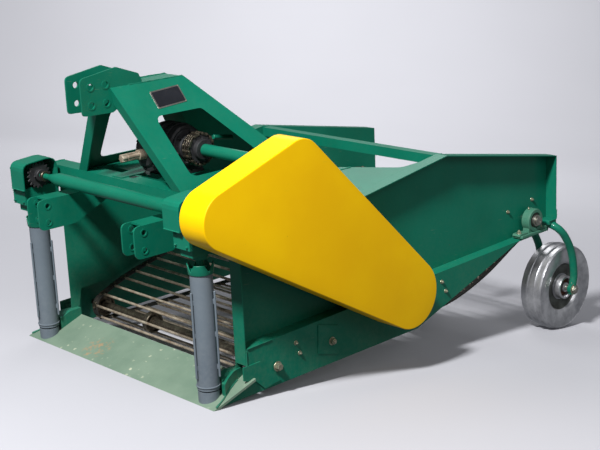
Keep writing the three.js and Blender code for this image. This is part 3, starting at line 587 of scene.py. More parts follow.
def sweep(path: np.ndarray, radius: np.ndarray | float, plane: Sequence[float], sides: int = 12) -> Shape:
    """Carries a circle along a path that lies roughly across one direction.

    At each point the circle stands on the plane's direction and on its cross product with the path's
    own direction, which is taken from the neighbouring points.

    Args:
        path: (n, 3) points.
        radius: one radius, or one for each point.
        plane: a direction the path never runs along.
        sides: points round the path.

    Returns:
        The tube, closed at both ends.
    """
    count = len(path)
    along = np.gradient(path, axis=0)
    along = along / np.linalg.norm(along, axis=1, keepdims=True)
    first = np.array(plane, float) - (along @ np.array(plane, float))[:, None] * along
    first = first / np.linalg.norm(first, axis=1, keepdims=True)
    second = np.cross(along, first)
    angle = angles(sides)
    size = np.broadcast_to(np.asarray(radius, float), (count,))[:, None, None]
    circle = np.cos(angle)[None, :, None] * first[:, None] + np.sin(angle)[None, :, None] * second[:, None]
    return Shape((path[:, None] + size * circle).reshape(-1, 3), tube_faces(count, sides))


def raised(
    outline: np.ndarray, thickness: float, turn: np.ndarray, centre: Sequence[float], chamfer: float
) -> Shape:
    """Raises a flat outline into a plate with chamfered edges.

    Each ring of the plate is the outline drawn in towards its own middle by the chamfer.

    Args:
        outline: (n, 2) points, anticlockwise.
        thickness: height of the plate, along the turn's third column.
        turn: rotation of the plate.
        centre: where the outline's origin goes.
        chamfer: width of the chamfer, over 0.

    Returns:
        The plate.
    """
    count = len(outline)
    middle = outline.mean(0)
    reach = np.linalg.norm(outline - middle, axis=1, keepdims=True)
    inner = middle + (outline - middle) * (1 - chamfer / reach)
    rings = [(inner, 0.0), (outline, chamfer), (outline, thickness - chamfer), (inner, thickness)]
    points = np.vstack([np.column_stack([flat, np.full(count, height)]) for flat, height in rings])
    return Shape(points @ turn.T + np.array(centre, float), tube_faces(len(rings), count))


def eight_sided(x: float, y: float, cut: float) -> np.ndarray:
    """The outline of a rectangle, given its half sides, with its corners cut off."""
    return np.array(
        [
            (x, cut - y), (x, y - cut), (x - cut, y), (cut - x, y),
            (-x, y - cut), (-x, cut - y), (cut - x, -y), (x - cut, -y),
        ]
    )


def block(low: Sequence[float], high: Sequence[float], chamfer: float = 0.001) -> Shape:
    """A box between two corners with chamfered upright edges and rims."""
    low, high = np.array(low, float), np.array(high, float)
    x, y = (high - low)[:2] / 2
    c = min(chamfer, x * 0.4, y * 0.4, (high - low)[2] * 0.4)
    middle = (low + high) / 2
    return raised(eight_sided(x, y, c), high[2] - low[2], np.eye(3), [middle[0], middle[1], low[2]], c)


def stadium(length: float, width: float, steps: int = 7, waist: float = 0.0) -> np.ndarray:
    """The outline of two half circles joined by sides that may draw in by a waist."""
    angle = np.linspace(-np.pi / 2, np.pi / 2, steps)
    end = np.column_stack([length / 2 + width / 2 * np.cos(angle), width / 2 * np.sin(angle)])
    dip = np.array([[0.0, width / 2 - waist]]) if waist else np.zeros((0, 2))
    return np.vstack([end, dip, -end, -dip])


def bolt(size: float, stud: float = 0.5) -> Shape:
    """A hexagon nut on a washer with a stud end, standing on z = 0; the size is half the nut's width."""
    foot = lathe([(1.32, 0), (1.38, 0.06), (1.32, 0.2)], (0, 0, 0), "z", 24)
    head = lathe([(0.97, 0), (1, 0.04), (1, 0.95), (0.86, 1.08)], (0, 0, 0.2), "z", 6)
    end = lathe([(0.5, 0), (0.5, 0.9 + stud), (0.42, 1 + stud)], (0, 0, 0.3), "z", 14)
    whole = foot + head + end
    return Shape(whole.points * size, whole.faces)


def bolts(places: Sequence[Sequence[float]], axis: np.ndarray | str, size: float, stud: float = 0.5) -> Shape:
    """The same bolt at several places, each turned by its own angle about the axis."""
    at = np.array(places, float)
    spin = np.linspace(0.2, 2.6, len(at))
    cos, sin, zero, one = np.cos(spin), np.sin(spin), np.zeros(len(at)), np.ones(len(at))
    twist = np.stack([cos, -sin, zero, sin, cos, zero, zero, zero, one], 1).reshape(-1, 3, 3)
    return bolt(size, stud).copies(at, frame_of(axis)[None] @ twist)


def weld(path: Sequence[Sequence[float]], radius: float = 0.0045, ripple: float = 0.0045) -> Shape:
    """A weld bead along a line of points: a tube whose radius rises and falls with each ripple."""
    corners = np.array(path, float)
    runs = np.linalg.norm(np.diff(corners, axis=0), axis=1)
    reach = np.concatenate([[0], np.cumsum(runs)])
    count = max(4, int(reach[-1] / ripple * 3))
    share = np.linspace(0, reach[-1], count)
    points = np.column_stack([np.interp(share, reach, corners[:, k]) for k in range(3)])
    wave = np.abs(np.sin(share / ripple * np.pi))
    wander = np.sin(share * 143.0) * 0.12 + np.sin(share * 61.0 + corners[0, 0] * 40) * 0.12
    direction = corners[-1] - corners[0]
    plane = np.eye(3)[int(np.argmin(np.abs(direction)))]
    return sweep(points, radius * (0.72 + 0.3 * wave + wander), plane, 8)


def welds(lines: Iterable[tuple]) -> Shape:
    """Straight weld beads, each given by its radius and its two ends."""
    return merged(weld(ends, radius) for radius, *ends in lines)


def sided(text: str, side: int) -> str:
    """A name with the side it stands on."""
    return f"{text}_{'right' if side > 0 else 'left'}"


def bodied(kind: str, side: int) -> str:
    """The body on a side: the frame, a roller or a wheel."""
    word = "right" if side > 0 else "left"
    return {"frame": "frame", "roller": f"roller_{word}", "wheel": f"{word}_wheel"}[kind]


def placed(name: str, data: bpy.types.ID) -> bpy.types.Object:
    """A new object in the scene, made from a mesh, a lamp or a camera."""
    made = bpy.data.objects.new(name, data)
    bpy.context.scene.collection.objects.link(made)
    return made


def smoothed(mesh: bpy.types.Mesh, degrees: float = 180.0) -> None:
    """Shades a mesh smooth except along edges sharper than an angle."""
    mesh.polygons.foreach_set("use_smooth", np.ones(len(mesh.polygons), bool))
    if degrees < 180.0:
        mesh.set_sharp_from_angle(angle=math.radians(degrees))


class Maker:
    """Turns shapes into Blender pieces that ride on the frame."""

    def __init__(self, level: Level, palette: Palette) -> None:
        """Keeps the level frame and the finishes."""
        self.level = level
        self.palette = palette

    def piece(
        self,
        name: str,
        shape: Shape,
        finish: "Slot | bpy.types.Material",
        body: str = "frame",
        replaces: Sequence[str] = (),
        smooth: float = 32.0,
        slot: Slot | None = None,
    ) -> None:
        """Makes one piece.

        Args:
            name: the piece's name.
            shape: its points and faces in the level frame.
            finish: a slot, or a material of its own.
            body: the CAD body it rides on.
            replaces: CAD nodes it stands for.
            smooth: angle in degrees under which edges are shaded smooth.
            slot: the record's slot, where the finish isn't one; not used.
        """
        mesh = bpy.data.meshes.new(name)
        mesh.from_pydata(self.level.place(shape.points).tolist(), [], shape.faces)
        mesh.materials.append(self.palette[finish] if isinstance(finish, Slot) else finish)
        mesh.validate()
        smoothed(mesh, smooth)
        made = placed(name, mesh)
        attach(made, body)
        if replaces:
            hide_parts(*replaces)
        LOG.info("%s: %d faces on %s", name, len(mesh.polygons), body)

    def pair(
        self,
        name: str,
        shape: Shape,
        finish: "Slot | bpy.types.Material",
        body: str = "frame",
        replaces: str = "",
        **options: float | Slot,
    ) -> None:
        """Makes a piece on the right and its mirror image on the left.

        Args:
            name: the pieces' name without the side.
            shape: the right one's points and faces.
            finish: a slot, or a material of its own.
            body: frame, roller or wheel.
            replaces: the CAD node they stand for, without the side.
            options: smooth and slot, as for one piece.
        """
        for side, one in ((1, shape), (-1, shape.mirrored())):
            nodes = [sided(replaces, side)] if replaces else []
            self.piece(sided(name, side), one, finish, bodied(body, side), nodes, **options)

    @staticmethod
    def soften(made: bpy.types.Object, width: float) -> None:
        """Rounds the piece's edges by a small width."""
        rounding = made.modifiers.new("edge", "BEVEL")
        rounding.width = width
        rounding.segments = 2
        rounding.limit_method = "ANGLE"
        rounding.angle_limit = math.radians(38)
        rounding.harden_normals = True


# Sub-assemblies, each drawn in the level frame


@dataclass
class Finishes:
    """Which slot each CAD node takes, by the start of its name, and how much its edges are rounded."""

    slots: dict[str, Slot] = field(
        default_factory=lambda: {
            "digging_blade": Slot.PRIMER,
            "drive_cover_back": Slot.GREEN,
            "drive_cover": Slot.YELLOW,
            "crop_roller": Slot.GREY,
            "roller_foot": Slot.GREY,
            "wheel_axle": Slot.STEEL,
            "wheel_fork": Slot.GREEN,
            "wheel": Slot.WHEEL,
            "rear_conveyor_shaft": Slot.STEEL,
            "gearbox_mount": Slot.GREEN,
            "gearbox": Slot.CAST,
            "input_shaft_shield": Slot.GREEN,
            "input_shaft": Slot.CAST,
            "chain_coupling": Slot.CAST,
            "conveyor_chain": Slot.CHAIN,
            "front_idler_shaft": Slot.CHAIN,
            "drive_shaft": Slot.CHAIN,
            "rear_bearing": Slot.BEARING,
        }
    )
    rounding: dict[str, float] = field(
        default_factory=lambda: {
            "digging_blade": 0.0008,
            "front_cross_beam": 0.006,
            "mid_cross_beam": 0.005,
            "frame_rail": 0.005,
            "rear_cross_bar": 0.003,
            "side_wall": 0.0016,
            "lower_side_wall": 0.0014,
            "a_frame_panel": 0.002,
            "lower_hitch_bracket": 0.0012,
            "upper_hitch_head": 0.0012,
            "roller_drive_box": 0.002,
            "roller_drive_guard": 0.0012,
            "blade_toe": 0.0012,
            "gearbox_mount": 0.001,
        }
    )

    @staticmethod
    def matching(table: dict, node: str, otherwise: object) -> object:
        """The table's entry with the longest name that the node's name starts with."""
        found = [key for key in table if node.startswith(key)]
        return table[max(found, key=len)] if found else otherwise

    def dress(self, maker: Maker, nodes: dict[str, bpy.types.Object]) -> None:
        """Gives each CAD node its finish, smooth faces and rounded edges."""
        for name, node in nodes.items():
            chosen = self.matching(self.slots, name, Slot.GREEN)
            node.data.materials.clear()
            node.data.materials.append(maker.palette[chosen])
            smoothed(node.data, 32.0)
            width = self.matching(self.rounding, name, 0.0)
            if width:
                maker.soften(node, width)


def cubic(
    start: np.ndarray, end: np.ndarray, leaving: np.ndarray, arriving: np.ndarray, steps: int
) -> np.ndarray:
    """Samples the cubic of each span, without its far end.

    With p1, p2 the ends and m1, m2 the slopes there, the point at share t is
    (2 p1 - 2 p2 + m1 + m2) t^3 + (3 p2 - 3 p1 - 2 m1 - m2) t^2 + m1 t + p1.

    Args:
        start: (n, k) points the spans start from.
        end: (n, k) points they end at.
        leaving: slopes at the starts.
        arriving: slopes at the ends.
        steps: samples in each span.

    Returns:
        (n * steps, k) points.
    """
    t = np.linspace(0, 1, steps, endpoint=False)[None, :, None]
    third = (2 * start - 2 * end + leaving + arriving)[:, None] * t**3
    second = (3 * end - 3 * start - 2 * leaving - arriving)[:, None] * t**2
    points = third + second + leaving[:, None] * t + start[:, None]
    return points.reshape(-1, start.shape[1])


@dataclass
class Loop:
    """The path of the rod chain: a closed curve through fixed points in the Y, Z plane."""

    corners: tuple[tuple[float, float], ...] = ((0.456, 0.184), (0.640, 0.233), (0.820, 0.273))
    under: tuple[tuple[float, float], ...] = (
        (1.984, 0.172), (1.890, 0.128), (1.794, 0.088), (1.634, 0.040), (1.501, 0.017),
        (1.300, 0.010), (0.900, 0.012),
    )
    idler: tuple[float, float, float] = (0.350, 0.078, 0.058)
    rear: tuple[float, float, float] = (2.062, 0.313, 0.100)
    pitch: float = 0.066

    @staticmethod
    def arc(circle: tuple[float, float, float], start: float, end: float, steps: int) -> np.ndarray:
        """Points on a circle between two angles in degrees."""
        angle = np.radians(np.linspace(start, end, steps + 1))
        return np.column_stack([circle[0] + circle[2] * np.cos(angle), circle[1] + circle[2] * np.sin(angle)])

    def curve(self, steps: int = 14) -> tuple[np.ndarray, np.ndarray]:
        """The centripetal Catmull-Rom curve, sampled.

        With p the four points round a span and d the square roots of their distances, the slopes are
        m = d1 ((p1 - p0)/d0 - (p2 - p0)/(d0 + d1) + (p2 - p1)/d1), and likewise at the far end.

        Args:
            steps: samples in each span.

        Returns:
            The points and the distance travelled at each, with the first point again at the end.
        """
        base = np.vstack(
            [self.arc(self.idler, 262, 118, 8), self.corners, self.arc(self.rear, 96, -72, 10), self.under]
        )
        p0, p1, p2, p3 = np.roll(base, 1, 0), base, np.roll(base, -1, 0), np.roll(base, -2, 0)
        d0, d1, d2 = (
            np.sqrt(np.linalg.norm(b - a, axis=1, keepdims=True)) for a, b in ((p0, p1), (p1, p2), (p2, p3))
        )
        m1 = d1 * ((p1 - p0) / d0 - (p2 - p0) / (d0 + d1) + (p2 - p1) / d1)
        m2 = d1 * ((p2 - p1) / d1 - (p3 - p1) / (d1 + d2) + (p3 - p2) / d2)
        points = cubic(p1, p2, m1, m2, steps)
        points = np.vstack([points, points[:1]])
        reach = np.concatenate([[0], np.cumsum(np.linalg.norm(np.diff(points, axis=0), axis=1))])
        return points, reach

    def stations(self, count: int, start: float) -> tuple[np.ndarray, np.ndarray]:
        """Evenly spaced points along the loop and the outward direction at each."""
        points, reach = self.curve()
        at = (np.arange(count) + start) / count * reach[-1]
        ahead, behind = at + 0.004, at - 0.004

        def on(distance: np.ndarray) -> np.ndarray:
            """Points at distances along the loop."""
            wrapped = distance % reach[-1]
            return np.column_stack([np.interp(wrapped, reach, points[:, k]) for k in (0, 1)])

        along = on(ahead) - on(behind)
        along = along / np.linalg.norm(along, axis=1, keepdims=True)
        return on(at), np.column_stack([-along[:, 1], along[:, 0]])

    def rods(self) -> int:
        """How many rods go round."""
        return round(float(self.curve()[1][-1]) / self.pitch)


@dataclass
class Conveyor:
    """The rod chain: straight steel rods, flattened and riveted at the ends to two fabric belts."""

    loop: Loop = field(default_factory=Loop)
    half: float = 0.536
    rod_radius: float = 0.006
    belt: tuple[float, float] = (0.524, 0.5615)
    belt_thickness: float = 0.007
    pad: tuple[float, float, float] = (0.028, 0.036, 0.0034)
    rivet_y: tuple[float, float] = (-0.0125, 0.0125)

    def turns(self, outward: np.ndarray) -> np.ndarray:
        """Rotations whose columns are X, the loop's direction turned back, and outward."""
        count = len(outward)
        x = np.tile([1.0, 0, 0], (count, 1))
        z = np.column_stack([np.zeros(count), outward])
        return np.stack([x, np.cross(z, x), z], 2)

    def build(self, maker: Maker) -> None:
        """Adds the rods, belts, pads and rivets."""
        count = self.loop.rods()
        at, outward = self.loop.stations(count, 0.5)
        places = np.column_stack([np.zeros(count), at])
        turns = self.turns(outward)
        around = 14
        end, neck = self.half + 0.004, self.half - 0.02
        span = np.array([-end, -neck, -0.3, 0.3, neck, end])[:, None]
        wide = np.array([1.35, 1, 1, 1, 1, 1.35])[:, None]
        flat = np.array([0.62, 1, 1, 1, 1, 0.62])[:, None]
        angle = angles(around)
        width, height = self.rod_radius * wide * np.cos(angle), self.rod_radius * flat * np.sin(angle)
        section = np.stack([np.repeat(span, around, 1), width, height], -1).reshape(-1, 3)
        bar = Shape(section, tube_faces(len(span), around))
        bars = bar.copies(places, turns)
        maker.piece("chain_rods", bars, Slot.CHAIN, replaces=["conveyor_chain"], smooth=50)
        self.belts(maker)
        width, length, thick = self.pad
        top = self.belt_thickness / 2
        quarter = np.array([[0.0, -1, 0], [1, 0, 0], [0, 0, 1]])
        pad = raised(stadium(length - width, width, 5), thick, quarter, (0, 0, top), 0.0007)
        head = lathe([(0.0042, 0), (0.0042, 0.0008), (0.0032, 0.0022), (0.0012, 0.0029)], (0, 0, 0), "z", 10)
        nut = lathe([(0.0046, 0), (0.0046, 0.0016), (0.0036, 0.0022)], (0, 0, 0), "z", 8)
        rivets = head.copies(np.array([[0, y, top + thick] for y in self.rivet_y]))
        nuts = nut.copies(np.array([[0, y, top] for y in self.rivet_y]))
        under = turns * np.array([1.0, -1.0, -1.0])
        sides = [places + np.array([side * sum(self.belt) / 2, 0, 0]) for side in (-1, 1)]
        pads = merged(unit.copies(side, turns) for unit in (pad, rivets) for side in sides)
        ends = merged(nuts.copies(side, under) for side in sides)
        maker.piece("chain_pads", pads, maker.palette.dark, slot=Slot.CHAIN, smooth=40)
        maker.piece("chain_rivet_ends", ends, maker.palette.dark)

    def belts(self, maker: Maker) -> None:
        """Adds the two side belts, each a closed band with rounded edges."""
        at, outward = self.loop.stations(260, 0.0)
        low, high = self.belt
        section = eight_sided((high - low) / 2, self.belt_thickness / 2, 0.0018)[::-1]
        count = len(section)
        across = np.tile(section[:, 0] + (low + high) / 2, len(at))[:, None]
        lifted = (at[:, None] + section[:, 1:] * outward[:, None]).reshape(-1, 2)
        band = Shape(np.hstack([across, lifted]), grid_faces(len(at), count, True, True))
        maker.piece("chain_belts", band.both(), maker.palette.rubber, smooth=25)


@dataclass
class Shafts:
    """The shafts inside the chain loop, with their support wheels, and the plain tubes of the frame."""

    idler: tuple[float, float] = (0.350, 0.078)
    drive: tuple[float, float] = (1.023, 0.262)
    rear: tuple[float, float] = (2.062, 0.313)
    output: tuple[float, float] = (0.410, 0.902)
    cross: tuple[float, float] = (0.040, 0.770)
    tube: tuple[float, float] = (1.560, 0.208)

    @staticmethod
    def disc(centre: tuple[float, float], x: float, radius: float, width: float, hub: float) -> Shape:
        """A spoked-looking support wheel: a rim, a thinner web and a hub."""
        h = width / 2
        half = [
            (hub * 0.6, -h * 1.3), (hub, -h * 1.3), (hub, -h * 0.35), (radius * 0.82, -h * 0.35),
            (radius * 0.84, -h), (radius - 0.002, -h), (radius, 0.002 - h),
        ]
        return ring([*half, *flipped(half)], (x, *centre), "x", 56)

    def build(self, maker: Maker) -> None:
        """Adds each shaft."""
        dark = maker.palette.dark

        def bar(centre: tuple[float, float], low: float, high: float, radius: float, sides: int) -> Shape:
            """A round bar along X."""
            return rod((low, *centre), (high, *centre), radius, sides)

        idler = bar(self.idler, -0.657, 0.657, 0.0125, 32) + bar(self.idler, -0.5, 0.5, 0.021, 40)
        idler = idler + self.disc(self.idler, 0.549, 0.050, 0.024, 0.026).both()
        idler = idler + self.disc(self.idler, 0.18, 0.048, 0.03, 0.028).both()
        maker.piece("idler_shaft_detail", idler, dark, replaces=["front_idler_shaft"], slot=Slot.CHAIN)
        drive = bar(self.drive, -0.618, 0.70, 0.020, 40)
        drive = drive + merged(self.sprocket(self.drive, x, 0.025).both() for x in (0.549, 0.2))
        maker.piece("drive_shaft_detail", drive, Slot.CHAIN, replaces=["drive_shaft"])
        rear = bar(self.rear, -0.668, 0.668, 0.020, 48)
        rear = rear + self.disc(self.rear, 0.549, 0.092, 0.022, 0.032).both()
        rear = rear + self.disc(self.rear, 0.2, 0.090, 0.022, 0.032).both()
        maker.piece("rear_shaft_detail", rear, Slot.STEEL, replaces=["rear_conveyor_shaft"])
        pipe = bar(self.output, 0.1963, 0.7, 0.025, 56)
        pipe = pipe + collar(0.034, 0.031, 0.001, (0.5505, *self.output), "x", 48)
        maker.piece("output_tube", pipe, Slot.GREEN, replaces=["output_shaft"])
        cross = bar(self.cross, -0.5856, 0.7, 0.0125, 32)
        cones = [
            (0.0130, 0), (0.0145, 0.001), (0.029, 0.075), (0.029, 0.878), (0.0145, 0.892), (0.0130, 0.893),
        ]
        sleeve = lathe(cones, (-0.415, *self.cross), "x", 56)
        maker.piece("cross_shaft_tube", sleeve + cross, Slot.GREEN, replaces=["cross_shaft"])
        ends = merged(collar(0.022, 0.014, 0.002, (x, *self.cross), "x") for x in (-0.4655, 0.4525))
        maker.piece("cross_shaft_collars", ends, dark, slot=Slot.STEEL)
        lower = bar(self.tube, -0.5787, 0.5787, 0.024, 56)
        maker.piece("lower_cross_pipe", lower, Slot.GREEN, replaces=["lower_cross_tube"])

    @staticmethod
    def sprocket(centre: tuple[float, float], x: float, radius: float, teeth: int = 7) -> Shape:
        """A small toothed wheel: the radius rises and falls with the cosine of the tooth angle."""
        angle = angles(teeth * 6)
        outline = polar(radius * (0.94 + 0.06 * np.cos(teeth * angle)), angle)
        return raised(outline, 0.022, frame_of("x"), (x - 0.011, *centre), 0.0008)


@dataclass
class DriveCover:
    """The deep rounded-triangle cover over the side chains, pressed from sheet with rolled edges."""

    circles: tuple[tuple[float, float, float], ...] = (
        (0.027, 0.774, 0.115), (0.411, 0.911, 0.106), (1.023, 0.232, 0.150),
    )
    back: float = 0.6433
    face: float = 0.785
    roll: float = 0.004
    hem: float = 0.006
    sheet: float = 0.006

    def outline(self, shrink: float, steps: int = 22) -> np.ndarray:
        """The belt line round the three circles, anticlockwise in Y, Z, drawn in by a distance.

        Each straight run leaves a circle at the angle of the run plus 90 degrees plus the arcsine of
        the change of radius over the distance between centres.
        """
        spots = np.array(self.circles)
        runs = np.roll(spots, -1, 0) - spots
        length = np.hypot(runs[:, 0], runs[:, 1])
        leave = np.arctan2(runs[:, 1], runs[:, 0]) + np.pi / 2 + np.arcsin(runs[:, 2] / length)
        arrive = np.roll(leave, 1)
        leave = arrive - (arrive - leave) % (2 * np.pi)
        angle = arrive[:, None] + (leave - arrive)[:, None] * np.linspace(0, 1, steps)
        size = (spots[:, 2] - shrink)[:, None]
        points = np.stack([spots[:, 0:1] + size * np.cos(angle), spots[:, 1:2] + size * np.sin(angle)], -1)
        return points.reshape(-1, 2)[::-1]

    def ring_at(self, x: float, shrink: float) -> np.ndarray:
        """The outline as points at one X."""
        flat = self.outline(shrink)
        return np.column_stack([np.full(len(flat), x), flat])

    def build(self, maker: Maker) -> None:
        """Adds the cover: rolled at the face, hemmed at the back and hollow behind its face."""
        turn = np.linspace(0, np.pi / 2, 7)
        rings = [(self.back, self.hem), (self.back, 0.0015), (self.back + 0.0015, 0.0)]
        rings += [(self.face - self.roll * (1 - math.sin(a)), self.roll * (1 - math.cos(a))) for a in turn]
        rings += [(self.face - self.sheet, self.hem)]
        points = np.vstack([self.ring_at(x, shrink) for x, shrink in rings])
        count = len(points) // len(rings)
        last, front = (len(rings) - 1) * count, (len(rings) - 2) * count
        faces = grid_faces(len(rings) - 1, count, False, True)
        here = np.arange(count)
        ahead = (here + 1) % count
        faces += [(here + last)[::-1].tolist(), (here + front).tolist()]
        faces += np.stack([here + last, here, ahead, ahead + last], 1).tolist()
        shell = Shape(points, faces)
        maker.piece("drive_cover_shell", shell, Slot.YELLOW, replaces=["drive_cover"], smooth=40)


@dataclass
class Wheels:
    """The two steel wheels: a rolled rim with raised ridges, dished discs and a hub tube."""

    x: float = 0.583
    radius: float = 0.212
    half: float = 0.0585
    ridge: float = 0.006
    ridge_at: float = 0.022
    bore: float = 0.0147

    def build(self, maker: Maker) -> None:
        """Adds a wheel on each side."""
        h, r = self.half, self.radius
        rise = np.linspace(0, np.pi, 7)
        ridge = [(r + self.ridge * math.sin(a), self.ridge_at - self.ridge * math.cos(a)) for a in rise]
        edge = [(r, h - 0.005), (r - 0.003, h - 0.0015), (0.2, h), (0.136, h - 0.003)]
        dish = [
            (0.126, h - 0.007), (0.119, h - 0.018), (0.112, h - 0.0235), (0.084, h - 0.0285),
            (0.064, h - 0.030), (0.0605, h - 0.027), (0.0595, h - 0.021), (0.0595, h + 0.004),
            (0.058, h + 0.0075), (0.049, h + 0.008), (0.0465, h + 0.004), (0.0455, h - 0.016),
            (0.024, h - 0.018), (0.0235, h + 0.006), (self.bore, h + 0.008),
        ]
        seal = [
            (0.0242, h - 0.0176), (0.0452, h - 0.0156), (0.0452, h - 0.0136), (0.036, h - 0.011),
            (0.0242, h - 0.0136),
        ]
        # A thin ring just over the dish's surface, in darker steel: painted shade of the dish's recess, not a
        # part of the wheel.
        disc = [
            (0.067, h - 0.0300), (0.112, h - 0.0240), (0.1175, h - 0.0185), (0.1165, h - 0.0175),
            (0.111, h - 0.0230), (0.067, h - 0.0290),
        ]
        hub = maker.level.wheel[1:]
        centre = (self.x, *hub)
        half = [(r - 0.0005, 0.012), *ridge, *edge, *dish]
        wheel = ring([*flipped(half), *half], centre, "x", 120)
        seals = merged(ring(profile, centre, "x", 64) for profile in (flipped(seal), seal))
        dish_shade_rings = merged(ring(profile, centre, "x", 96) for profile in (flipped(disc), disc))
        turn = np.linspace(0, 2 * np.pi, 200)
        beads = merged(
            weld(round_x(self.x + side * (h + height), hub, radius, turn), size, 0.006)
            for side in (-1, 1)
            for radius, height, size in ((0.0625, -0.0285, 0.0035), (0.205, 0.0, 0.002))
        )
        maker.pair("steel_wheel", wheel, Slot.WHEEL, "wheel", "wheel", smooth=36)
        maker.pair("wheel_welds", beads, Slot.WHEEL, "wheel", smooth=60)
        # The dish ring carries painted shade of the recess in its darker steel.
        maker.pair("painted_dish_shade", dish_shade_rings, maker.palette.dish, "wheel", slot=Slot.WHEEL)
        maker.pair("wheel_hub_seals", seals, maker.palette.rust, "wheel", slot=Slot.WHEEL)


@dataclass
class Forks:
    """The bent-tube wheel forks with their feet, seats, axles and nuts."""

    x: float = 0.583
    spread: float = 0.099
    tube: float = 0.019
    pin: float = 0.1298

    def path(self, wheel_z: float) -> np.ndarray:
        """The tube's middle line: a smooth curve through the bends, up one leg and down the other."""
        o = self.spread
        leg = np.array(
            [
                (o, 2.313, wheel_z - 0.026), (o, 2.318, wheel_z + 0.010), (o, 2.330, -0.020),
                (o, 2.308, 0.099), (o - 0.002, 2.258, 0.190), (o - 0.018, 2.222, 0.238),
                (o - 0.060, 2.208, 0.258),
            ]
        )
        corners = np.vstack([leg, (leg * np.array([-1, 1, 1]))[::-1]])
        before = np.vstack([2 * corners[:1] - corners[1:2], corners[:-1]])
        after = np.vstack([corners[1:], 2 * corners[-1:] - corners[-2:-1]])
        unit = (after - before) / np.linalg.norm(after - before, axis=1, keepdims=True)
        run = np.linalg.norm(np.diff(corners, axis=0), axis=1, keepdims=True)
        curve = cubic(corners[:-1], corners[1:], unit[:-1] * run, unit[1:] * run, 9)
        return np.vstack([curve, corners[-1:]]) + np.array([self.x, 0, 0])

    def build(self, maker: Maker) -> None:
        """Adds the fork, axle and nuts on each side."""
        hub = maker.level.wheel[1:]

        def ends(profile: Profile, off: float, sides: int) -> Shape:
            """The same turned part at both ends of the axle, facing outwards."""
            return merged(lathe(profile, (self.x + s * off, *hub), (s, 0, 0), sides) for s in (-1, 1))

        feet = [
            collar(0.026, 0.024, 0.002, (self.x + s * self.spread - 0.012, *hub), "x") for s in (-1, 1)
        ]
        gusset = np.array([(2.178, 0.262), (2.206, 0.222), (2.226, 0.262)])
        fork = merged(
            [
                sweep(self.path(hub[1]), self.tube, (0.0, 0.8, 0.6), 28),
                *feet,
                block((0.576, 2.176, 0.262), (0.643, 2.234, 0.2847), 0.002),
                raised(gusset, 0.006, frame_of("x"), (0.606, 0.0, 0.0), 0.0005),
            ]
        )
        beads = welds(
            [
                (0.0030, (0.578, 2.2355, 0.2635), (0.641, 2.2355, 0.2635)),
                (0.0030, (0.6445, 2.178, 0.284), (0.6445, 2.232, 0.284)),
                (0.0028, (0.6445, 2.232, 0.286), (0.6445, 2.2345, 0.330)),
            ]
        )
        nuts = ends([(0.0195, 0), (0.0225, 0.0012), (0.0228, 0.0085), (0.0205, 0.0105)], 0.115, 6)
        washers = ends([(0.027, 0), (0.0275, 0.0008), (0.0275, 0.0026), (0.026, 0.0032)], 0.1115, 32)
        pin = rod((self.x - self.pin, *hub), (self.x + self.pin, *hub), 0.0138, 28)
        nipple = [(0.004, 0), (0.004, 0.006), (0.0028, 0.008), (0.0036, 0.011), (0.002, 0.0125)]
        grease = lathe(nipple, (self.x + self.spread + 0.004, hub[0] - 0.006, hub[1] + 0.0245), "z", 12)
        maker.pair("fork_tube", fork, Slot.GREEN, replaces="wheel_fork", smooth=36)
        maker.pair("fork_welds", beads, maker.palette.weld, slot=Slot.GREEN)
        maker.pair("axle_pin", nuts + pin, Slot.STEEL, replaces="wheel_axle")
        maker.pair("axle_washers", washers + grease, maker.palette.zinc)


